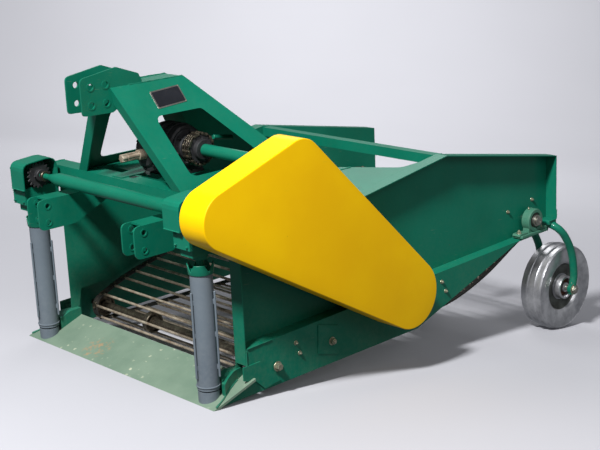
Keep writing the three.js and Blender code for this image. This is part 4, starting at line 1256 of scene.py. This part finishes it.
@dataclass
class Rollers:
    """The vertical rollers: a tube with three rods on stand-offs, under a green crown cup."""

    x: float = 0.569
    y: float = 0.055
    radius: float = 0.045
    bottom: float = 0.056
    top: float = 0.542
    rim: float = 0.571
    rod_from: float = 0.108
    rod_to: float = 0.460
    reaches: tuple[float, float, float] = (0.052, 0.0445, 0.0465)
    shares: tuple[float, float, float] = (0.12, 0.5, 0.88)
    notch_slope: float = 0.080
    flare: float = 0.09

    def at(self, z: float) -> tuple[float, float, float]:
        """A point on the roller's axis."""
        return (self.x, self.y, z)

    def build(self, maker: Maker) -> None:
        """Adds each roller's tube, rods, stand-offs, welds and crown."""
        r = self.radius
        height = self.top - self.bottom
        profile = [
            (0.016, 0.0), (r - 0.002, 0.0), (r, 0.002), (r, 0.012), (r + 0.003, 0.013), (r + 0.0036, 0.015),
            (r + 0.003, 0.017), (r, 0.018), (r, height - 0.002), (r - 0.002, height), (0.016, height),
        ]
        solid = [ring(profile, self.at(self.bottom), "z", 72)]
        beads = []
        seat = block((-0.004, -0.0035, -0.009), (0.004, 0.0035, 0.009), 0.001)
        for out in polar(1.0, angles(3) + math.radians(26)):
            spot, near, edge = (np.array([self.x, self.y]) + reach * out for reach in self.reaches)
            solid.append(rod((*spot, self.rod_from), (*spot, self.rod_to), 0.0045, 18, 0.5))
            for z in self.rod_from + (self.rod_to - self.rod_from) * np.array(self.shares):
                solid.append(seat.copies(np.array([[*near, z]])))
                beads.append(weld([(*edge, z - 0.011), (*edge, z + 0.011)], 0.0042, 0.004))
        maker.pair("roller_tube", merged(solid), Slot.GREY, "roller", "crop_roller", smooth=36)
        maker.pair("roller_welds", merged(beads), Slot.GREY, "roller", smooth=60)
        maker.pair("crown_cup", self.crown(), Slot.GREEN, "roller", "roller_crown", smooth=34)

    def crown(self) -> Shape:
        """The crown cup: it flares, its rim dips into four V notches, and the drive stub stands inside.

        At angle a the rim stands at the notch's bottom plus the distance round from the nearest notch times
        the notch's steepness, and never over the full height.
        """
        angle = angles(96)
        offset = np.abs((angle + np.pi / 4) % (np.pi / 2) - np.pi / 4)
        rim = np.minimum(self.rim, self.top - 0.002 + offset * self.notch_slope)
        foot, inside = self.top - 0.012, self.top + 0.0035
        flare = (rim - foot) * self.flare
        levels = [
            (0.0463, foot), (0.0495, foot), (0.050, foot + 0.001), (0.050 + flare, rim - 0.001),
            (0.0492 + flare, rim), (0.0462 + flare, rim), (0.0454 + flare, rim - 0.001),
            (0.0447, inside - 0.001), (0.0435, inside - 0.002), (0.016, inside - 0.002),
            (0.016, inside - 0.0025), (0.0463, inside - 0.0030),
        ]
        points = stacked(levels, angle) + np.array(self.at(0.0))
        cup = Shape(points, grid_faces(len(levels), len(angle), True, True))
        stub = lathe([(0.0149, 0), (0.0149, 0.118), (0.0142, 0.119)], self.at(self.top + 0.003), "z", 36)
        hexagon = [(0.024, 0), (0.026, 0.0015), (0.026, 0.009), (0.0235, 0.011)]
        return cup + stub + lathe(hexagon, self.at(self.top + 0.0036), "z", 6)


@dataclass
class RollerDrives:
    """The bevel gears over the rollers, with the bolts, seals and welds of their boxes and guards."""

    y: float = 0.040
    z: float = 0.770
    roller_x: float = 0.569
    roller_y: float = 0.055

    def bevel(self, teeth: int, large: float, small: float, depth: float) -> Shape:
        """A bevel gear: a cone whose radius swells at each tooth.

        At angle a the radius is the cone's radius times 0.9 + 0.1 of a squared-off cosine of teeth times a.
        """
        angle = angles(teeth * 8)
        swell = 0.91 + 0.09 * np.tanh(3 * np.cos(teeth * angle))
        levels = [(large * 0.93, 0.0), (large, 0.003), (small, depth), (small * 0.7, depth + 0.002)]
        points = stacked([(radius * swell, height) for radius, height in levels], angle)
        return Shape(points, tube_faces(len(levels), len(angle)))

    def build(self, maker: Maker) -> None:
        """Adds the gears and their fixings on each side."""
        gear = self.bevel(18, 0.060, 0.036, 0.026)
        pinion = Shape(gear.points @ frame_of("x").T + np.array([0.502, self.y, self.z]), gear.faces)
        hub = collar(0.026, 0.022, 0.002, (0.481, self.y, self.z), "x")
        screw = rod((0.49, self.y - 0.0255, self.z), (0.49, self.y - 0.033, self.z), 0.005, 6)
        rows = (0.656, 0.702)
        side_bolts = bolts([(0.6175, y, z) for z in rows for y in (-0.012, 0.102)], "x", 0.0058)
        front_bolts = bolts([(x, -0.0285, z) for z in rows for x in (0.535, 0.603)], (0.0, -1.0, 0.0), 0.0052)
        stepped = [(0.0165, 0), (0.030, 0), (0.032, 0.002), (0.032, 0.010), (0.0165, 0.010)]
        seal = ring(stepped, (self.roller_x, self.roller_y, 0.5875), "z", 48)
        knob = [(0.021, 0), (0.023, 0.002), (0.023, 0.016), (0.019, 0.020)]
        latch = lathe(knob, (0.5903, -0.018, 0.800), "x", 6)
        foot = weld([(0.492, -0.0485, 0.7155), (0.588, -0.0485, 0.7155)], 0.003)
        maker.pair("bevel_gears", pinion + hub + screw, Slot.CAST)
        maker.pair("drive_box_bolts", side_bolts + front_bolts, Slot.GREEN)
        maker.pair("drive_box_seal", seal, Slot.GREEN)
        maker.pair("guard_welds", foot, maker.palette.weld, slot=Slot.GREEN)
        maker.piece("guard_latch_left", latch.mirrored(), Slot.GREEN)


@dataclass
class Gearbox:
    """The bevel gearbox: a ribbed casting with a flanged nose, side caps and bolts."""

    y: float = 0.410
    z: float = 0.902
    input_z: float = 0.890

    def build(self, maker: Maker) -> None:
        """Adds the casting, its bolts, the splined shaft and the chain coupling."""
        self.casting(maker)
        self.spline(maker)
        self.coupling(maker)

    def casting(self, maker: Maker) -> None:
        """Adds the casting and its fixings."""
        drum = [
            (0.020, -0.112), (0.050, -0.112), (0.055, -0.108), (0.055, -0.098), (0.074, -0.096),
            (0.078, -0.092), (0.078, -0.084), (0.088, -0.080), (0.092, -0.070), (0.092, 0.060),
            (0.088, 0.072), (0.078, 0.076), (0.078, 0.084), (0.074, 0.088), (0.055, 0.090),
            (0.055, 0.100), (0.050, 0.104), (0.020, 0.104),
        ]
        snout = [
            (0.022, 0.0), (0.050, 0.0), (0.055, 0.004), (0.056, 0.010), (0.076, 0.013), (0.078, 0.015),
            (0.078, 0.025), (0.076, 0.027), (0.062, 0.030), (0.062, 0.100), (0.022, 0.100),
        ]
        fin = [(0.080, -0.003), (0.096, -0.003), (0.0965, 0.0), (0.096, 0.003), (0.080, 0.003)]
        ribs = (-0.086, -0.045, 0.0, 0.04, 0.074)
        casting = [
            ring(drum, (0.0, self.y, self.z), "x", 80),
            rod((0.098, self.y, self.z), (0.126, self.y, self.z), 0.024, 40),
            ring(snout, (0.0, 0.246, self.input_z), "y", 64),
            block((-0.092, 0.330, 0.7823), (0.080, 0.492, 0.800), 0.003),
            block((-0.080, 0.342, 0.7985), (0.068, 0.480, 0.880), 0.010),
            *(block((x - 0.004, 0.335, 0.799), (x + 0.004, 0.487, 0.850), 0.002) for x in ribs),
            *(ring(fin, (x, self.y, self.z), "x", 64) for x in ribs[1:4]),
        ]
        maker.piece("gearbox_casting", merged(casting), Slot.CAST, replaces=["gearbox"])
        angle = angles(6) + 0.3
        sides = [
            bolts(round_x(x, (self.y, self.z), 0.066, angle), (toward, 0.0, 0.0), 0.0068, 0.3)
            for x, toward in ((-0.097, -1.0), (0.089, 1.0))
        ]
        face = np.insert(polar(0.068, angle), 1, 0.2575, 1) + np.array([0, 0, self.input_z])
        front = bolts(face, (0.0, -1.0, 0.0), 0.0062, 0.3)
        base = bolts([(x, y, 0.800) for x in (-0.083, 0.071) for y in (0.341, 0.481)], "z", 0.008)
        maker.piece("gearbox_bolts", merged([*sides, front, base]), Slot.CAST)

    def spline(self, maker: Maker) -> None:
        """Adds the splined input shaft with its locking groove.

        The outline's radius is a squared-off cosine of six times the angle, between root and tip.
        """
        angle = angles(96)
        share = (1 + np.tanh(4 * np.cos(6 * angle + 1.2))) / 2
        tip = 0.0145 + 0.003 * share
        groove = np.minimum(tip, 0.0142)
        levels = [
            (tip * 0.93, 0.127), (tip, 0.1285), (tip, 0.146), (groove, 0.147), (groove, 0.153), (tip, 0.154),
            (tip, 0.206), (0.0178, 0.210),
        ]
        points = stacked(levels, angle) @ frame_of("y").T + np.array([0, 0, self.input_z])
        shaft = Shape(points, tube_faces(len(levels), len(angle)))
        sleeve = lathe([(0.020, 0), (0.022, 0.002), (0.022, 0.0355)], (0, 0.210, self.input_z), "y", 48)
        maker.piece("input_spline", shaft + sleeve, Slot.CHAIN, replaces=["input_shaft"], smooth=40)

    def coupling(self, maker: Maker) -> None:
        """Adds two toothed wheels joined by a double roller chain, and their hubs."""
        teeth, pitch = 18, 0.0655
        step = 2 * np.pi / teeth
        at = (self.y, self.z)
        angle = angles(teeth * 8)
        size = pitch - 0.0045 + 0.0065 * np.tanh(2 * np.cos(teeth * angle + np.pi))
        toothed = polar(size, angle)
        wheels = [raised(toothed, 0.009, frame_of("x"), (x, *at), 0.001) for x in (0.1425, 0.1655)]
        hubs = [
            lathe([(0.040, 0), (0.043, 0.002), (0.043, 0.016)], (0.1265, *at), "x"),
            lathe([(0.043, 0), (0.043, 0.0195), (0.040, 0.0215)], (0.1742, *at), "x"),
        ]
        low, high = self.z + 0.042, self.z + 0.0485
        screws = [rod((x, self.y, low), (x, self.y, high), 0.0055, 6) for x in (0.1335, 0.185)]
        whole = merged([*wheels, *hubs, *screws])
        maker.piece("coupling_wheels", whole, Slot.CAST, replaces=["chain_coupling"])
        dark = maker.palette.dark
        spots = angles(teeth)
        barrel = [(0.0062, 0), (0.0064, 0.0005), (0.0064, 0.0125), (0.0062, 0.013)]
        rollers = [lathe(barrel, (0, 0, -x), "z", 14) for x in (0.1537, 0.1767)]
        joint = merged([*rollers, rod((0, 0, -0.1375), (0, 0, -0.1800), 0.0034, 12)])
        joints = joint.copies(round_x(0.0, at, pitch, spots), self.turns(spots))
        maker.piece("coupling_rollers", joints, dark, slot=Slot.CHAIN)
        link = raised(stadium(pitch * step * 1.02, 0.0135, 6, 0.0018), 0.0022, np.eye(3), (0, 0, 0), 0.0004)
        plates = []
        for index, x in enumerate((0.1383, 0.1408, 0.1515, 0.1540, 0.1612, 0.1637, 0.1745, 0.1770)):
            between = spots[index % 2 :: 2] + step / 2
            plates.append(link.copies(round_x(x, at, pitch * 0.985, between), self.turns(between)))
        maker.piece("coupling_links", merged(plates), dark, slot=Slot.CHAIN)

    @staticmethod
    def turns(spots: np.ndarray) -> np.ndarray:
        """Axes along the chain, outwards and against X at each angle round the coupling."""
        none = np.zeros(len(spots))
        along = np.column_stack([none, -np.sin(spots), np.cos(spots)])
        outwards = np.column_stack([none, polar(1.0, spots)])
        return np.stack([along, outwards, np.tile([-1.0, 0, 0], (len(spots), 1))], 2)


@dataclass
class Bearings:
    """The bearings: pillow blocks at the rear corners, flanged ones on the drive shaft."""

    rear: tuple[float, float] = (2.062, 0.313)
    drive: tuple[float, float] = (1.023, 0.262)

    def build(self, maker: Maker) -> None:
        """Adds the bearings and their bolts."""
        self.rear_blocks(maker)
        self.drive_flanges(maker)

    def rear_blocks(self, maker: Maker) -> None:
        """Adds the pillow blocks."""
        at = (0.0, *self.rear)
        shell = [
            (0.036, 0.600), (0.050, 0.600), (0.057, 0.606), (0.057, 0.642), (0.053, 0.648), (0.040, 0.648),
            (0.038, 0.640), (0.036, 0.638),
        ]
        inner = [
            (0.0205, 0.604), (0.0345, 0.604), (0.0365, 0.606), (0.0365, 0.640), (0.0345, 0.642),
            (0.0285, 0.641), (0.0275, 0.656), (0.026, 0.658), (0.0205, 0.658),
        ]
        nipple = [(0.0045, 0), (0.0045, 0.007), (0.003, 0.009), (0.004, 0.012), (0.002, 0.0135)]
        turn = np.array([[0.0, 0, 1], [1, 0, 0], [0, 1, 0]])
        neck = np.array([(-0.052, 0.0), (0.052, 0.0), (0.046, 0.030), (-0.046, 0.030)])
        ear = np.array([(-0.036, 0), (0.036, 0), (0.030, 0.009), (-0.030, 0.009)])
        slab = raised(ear, 0.044, turn, (0.602, 1.972, 0.2575), 0.0015)
        housing = merged(
            [
                ring(shell, at, "x", 72),
                raised(neck, 0.036, turn, (0.606, self.rear[0], 0.2555), 0.002),
                block((0.596, 1.944, 0.2443), (0.656, 2.142, 0.2585), 0.003),
                slab.copies(np.array([[0, 0, 0], [0, 0.149, 0]])),
            ]
        )
        insert = ring(inner, at, "x", 64) + washer(0.009, 0.0195, 0.0022, (0.6672, *self.rear), "x", 40)
        seal = washer(0.0288, 0.0338, 0.003, (0.6395, *self.rear), "x", 48)
        grease = lathe(nipple, (0.620, self.rear[0] - 0.018, self.rear[1] + 0.0530), (0.0, -0.3, 1.0), 12)
        nuts = bolts([(0.626, 1.959, 0.2665), (0.626, 2.122, 0.2665)], "z", 0.0095)
        maker.pair("pillow_block", housing, Slot.BEARING, replaces="rear_bearing")
        maker.pair("bearing_insert", insert, Slot.STEEL)
        maker.pair("bearing_seal", seal, maker.palette.rubber)
        maker.pair("pillow_bolts", nuts + grease, maker.palette.zinc)

    def drive_flanges(self, maker: Maker) -> None:
        """Adds the flanged bearings: squares on their corners, with rounded ends."""
        at = (0.5836, *self.drive)
        circle = polar(1.0, angles(48))
        square = circle * (0.043 / np.maximum(np.abs(circle).sum(1, keepdims=True), 0.93))
        swelling = [(0.0205, 0.010), (0.035, 0.010), (0.034, 0.018), (0.029, 0.028), (0.0205, 0.028)]
        flange = raised(square, 0.010, frame_of("x"), at, 0.0015) + ring(swelling, at, "x", 48)
        corners = round_x(0.5936, self.drive, 0.033, angles(4))
        maker.pair("flange_bearing", flange, Slot.GREEN, replaces="drive_bearing")
        maker.pair("flange_bolts", bolts(corners, "x", 0.0055, 0.2), maker.palette.zinc)


@dataclass
class Fasteners:
    """The bolts and the patches of the side walls."""

    lower_x: float = 0.6432
    upper_x: float = 0.5832

    def build(self, maker: Maker) -> None:
        """Adds the bolts and the patch of each side wall."""
        low = [(0.460, 0.145), (0.479, 0.096), (1.368, 0.176), (1.394, 0.126)]
        high = [(1.925, 0.374), (2.114, 0.397)]
        plate = np.array([(0.587, 0.187), (0.580, 0.062), (0.695, 0.028), (0.702, 0.155)])
        fixings = [
            bolts([(self.lower_x, y, z) for y, z in low], "x", 0.0072),
            bolts([(self.lower_x + 0.004, 0.662, 0.096)], "x", 0.0135, 0.35),
            bolts([(0.6495, 0.350, 0.078)], "x", 0.0155, -0.2),
            bolts([(self.upper_x, y, z) for y, z in high], "x", 0.0070),
        ]
        maker.pair("wall_bolts", merged(fixings), maker.palette.zinc)
        patch = raised(plate, 0.004, frame_of("x"), (self.lower_x, 0, 0), 0.0006)
        maker.pair("wall_patch", patch, Slot.GREEN)


@dataclass
class Welds:
    """Weld beads where the plates and tubes of the frame meet."""

    def build(self, maker: Maker) -> None:
        """Adds all the beads of a side as one piece; the right side has two more."""
        toe = [
            (0.6585, 0.0165, 0.0085), (0.640, 0.070, 0.0235), (0.6145, 0.121, 0.039), (0.594, 0.182, 0.057),
        ]
        straight = [
            (0.0030, (0.5865, 0.150, 0.7925), (0.5865, 0.230, 0.7925)),
            (0.0038, (0.293, 0.152, 0.7105), (0.293, 0.258, 0.7105)),
            (0.0038, (0.381, 0.152, 0.7105), (0.381, 0.258, 0.7105)),
            (0.0038, (0.357, 0.155, 0.7935), (0.357, 0.230, 0.7935)),
            (0.0034, (0.357, 0.250, 0.7935), (0.357, 0.800, 0.7935)),
            (0.0030, (0.320, 0.2310, 0.7925), (0.384, 0.2310, 0.7925)),
            (0.0030, (0.320, 0.8110, 0.7925), (0.384, 0.8110, 0.7925)),
            (0.0030, (0.3195, 0.3, 0.7825), (0.3195, 0.52, 0.7825)),
            (0.0030, (0.578, 1.418, 0.7435), (0.578, 1.459, 0.7435)),
            (0.0030, (0.5835, 0.8125, 0.7925), (0.5835, 0.8715, 0.7925)),
            (0.0030, (0.0585, 0.151, 1.1985), (0.0585, 0.425, 1.1985)),
        ]
        right_only = [
            (0.0032, (0.6445, 0.1945, 0.110), (0.6445, 0.1945, 0.186)),
            (0.0028, (0.645, 0.200, 0.1928), (0.645, 0.330, 0.1962)),
        ]
        joint = round_x(0.5782, (1.560, 0.208), 0.0245, np.linspace(0, 2 * np.pi, 80))
        both = weld(toe, 0.0042, 0.006) + welds(straight) + weld(joint, 0.003)
        right = both + welds(right_only)
        for name, beads in (("frame_welds_right", right), ("frame_welds_left", both.mirrored())):
            maker.piece(name, beads, maker.palette.weld, slot=Slot.GREEN, smooth=60)


@dataclass
class HitchDetail:
    """Bushes in the hitch holes, the blank plate on the panel and the stay rod."""

    def build(self, maker: Maker) -> None:
        """Adds the hitch trim."""
        bushes = merged(
            washer(0.0112, 0.0165, 0.0018, (centre + off, -0.062, z))
            for centre in (0.297, 0.377)
            for off in (-0.0059, 0.0041)
            for z in (0.683, 0.611)
        )
        head = merged(
            washer(0.0132, 0.0185, 0.0016, (0.0551, y, z)) for y in (-0.030, 0.042) for z in (1.140, 1.214)
        )
        maker.piece("hitch_bushes", (bushes + head).both(), Slot.GREEN)
        stay = rod((0.100, 0.536, 0.923), (0.100, 0.641, 0.905), 0.0105, 24)
        maker.piece("stay_rod", stay, Slot.GREEN)
        self.plate(maker)

    def plate(self, maker: Maker) -> None:
        """Adds the blank plate: a dark field in a bright border, on four rivets."""
        corners = np.array(
            [(0.083, 0.227, 1.164), (0.079, 0.381, 1.170), (0.131, 0.391, 1.099), (0.139, 0.233, 1.087)]
        )
        across = corners[1] - corners[0] + corners[2] - corners[3]
        across = across / np.linalg.norm(across)
        (low_x, low_z), (high_x, high_z) = (0.356, 0.7923), (0.060, 1.198)
        slope = (low_x - high_x) / (high_z - low_z)
        outward = np.array([1.0, 0.0, slope]) / math.hypot(1, slope)
        up = np.cross(outward, across)
        turn = np.stack([across, up, outward], 1)
        middle = corners.mean(0)
        on_plane = high_x + (high_z - middle[2]) * slope
        middle = middle + outward * ((on_plane - middle[0]) / math.hypot(1, slope) + 0.0004)
        wide, tall, corner = 0.077, 0.041, 0.004
        border = raised(eight_sided(wide, tall, corner), 0.0012, turn, middle, 0.0003)
        inner = eight_sided(wide - 0.006, tall - 0.006, corner)
        field = raised(inner, 0.0009, turn, middle + outward * 0.0009, 0.0002)
        maker.piece("blank_plate_border", border, Slot.STEEL)
        maker.piece("blank_plate_field", field, maker.palette.plate)
        u, v = wide - 0.0035, tall - 0.0035
        rivet = lathe([(0.0026, 0), (0.0024, 0.0009), (0.0012, 0.0016)], (0, 0, 0), "z", 12)
        heads = rivet.copies(np.array([(x, y, 0.0012) for x in (-u, u) for y in (-v, v)]))
        heads = Shape(heads.points @ turn.T + middle, heads.faces)
        maker.piece("blank_plate_rivets", heads, maker.palette.zinc)


class Studio:
    """The floor, the lights and the camera."""

    def build(self, level: Level) -> None:
        """Builds the stage and sets the view."""
        self.backdrop()
        self.lights()
        self.camera(level)
        bpy.context.scene.view_settings.view_transform = "Standard"

    @staticmethod
    def backdrop() -> None:
        """A pale floor that curves up into a wall: height = rise (1 - cos) along the curve."""
        turn = np.linspace(0, np.pi / 2, 14)
        depth = np.concatenate([[-14.0], 7.5 + 5 * np.sin(turn), [12.5]])
        height = np.concatenate([[0.0], 5 * (1 - np.cos(turn)), [13.0]])
        sides = [np.column_stack([np.full(len(depth), x), depth, height]) for x in (-26.0, 26.0)]
        points = np.vstack(sides) @ np.array(Matrix.Rotation(math.radians(46), 3, "Z")).T
        mesh = bpy.data.meshes.new("floor")
        mesh.from_pydata(points.tolist(), [], grid_faces(2, len(depth), False, False))
        smoothed(mesh)
        s = Shader("floor_paper")
        tone = s.blend(s.noise(0.5, 2, 0.5), srgb(180, 180, 186), srgb(187, 187, 193))
        mesh.materials.append(s.surface(Base_Color=tone, Roughness=0.9))
        floor = placed("floor", mesh)
        floor.visible_diffuse = False
        floor.visible_glossy = False

    @staticmethod
    def lights() -> None:
        """A strong key from high in front, two weak lamps, and one that brightens the backdrop."""
        world = bpy.data.worlds.new("studio")
        world.use_nodes = True
        sky = world.node_tree.nodes["Background"].inputs
        sky["Color"].default_value = (0.90, 0.93, 1.0, 1.0)
        sky["Strength"].default_value = 0.2
        bpy.context.scene.world = world
        middle = (0.0, 0.0, 0.5)
        for name, place, target, size, power in (
            ("key", (2.7, -7.0, 6.8), middle, 1.0, 1480.0),
            ("fill", (6.0, -1.5, 4.2), middle, 3.0, 60.0),
            ("back", (-3.5, 3.0, 5.0), middle, 3.0, 70.0),
            ("backdrop", (-4.7, 4.5, 6.0), (-8.1, 7.8, 1.0), 4.0, 520.0),
        ):
            lamp = bpy.data.lights.new(name, "AREA")
            lamp.size, lamp.energy = size, power
            lit = placed(name, lamp)
            lit.location = place
            aim = Vector(target) - lit.location
            lit.rotation_euler = aim.to_track_quat("-Z", "Y").to_euler()

    @staticmethod
    def camera(level: Level) -> None:
        """The main view: from the front and the drive cover's side, from a little above the cover."""
        azimuth, elevation, roll = map(math.radians, (46.04, 9.79, 3.06))
        across = Vector((math.cos(azimuth), math.sin(azimuth), 0))
        level_back = Vector((-math.sin(azimuth), math.cos(azimuth), 0))
        upward = math.sin(elevation) * level_back + math.cos(elevation) * Vector((0, 0, 1))
        back = across.cross(upward)
        right = math.cos(roll) * across + math.sin(roll) * upward
        above = -math.sin(roll) * across + math.cos(roll) * upward
        lens = bpy.data.cameras.new("main")
        lens.sensor_width, lens.lens = 36.0, 78.56
        lens.shift_x, lens.shift_y = -0.0013, -0.0085
        camera = placed("main", lens)
        turn = Matrix((right, above, back)).transposed()
        place = Vector(level.offset + np.array([4.359, -3.155, 1.605]))
        camera.matrix_world = Matrix.Translation(place) @ turn.to_4x4()
        bpy.context.scene.camera = camera


def main() -> None:
    """Builds the looks."""
    logging.basicConfig(level=logging.INFO, format="%(message)s")
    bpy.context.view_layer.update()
    maker = Maker(Level(frame["record"]), Palette())
    Finishes().dress(maker, frame["nodes"])
    parts: tuple[Callable[[Maker], None], ...] = (
        Conveyor().build, Shafts().build, DriveCover().build, Wheels().build, Forks().build, Rollers().build,
        RollerDrives().build, Gearbox().build, Bearings().build, Fasteners().build, Welds().build,
        HitchDetail().build,
    )
    for build in parts:
        build(maker)
    Studio().build(maker.level)
    bpy.context.view_layer.update()


if __name__ == "__main__":
    main()
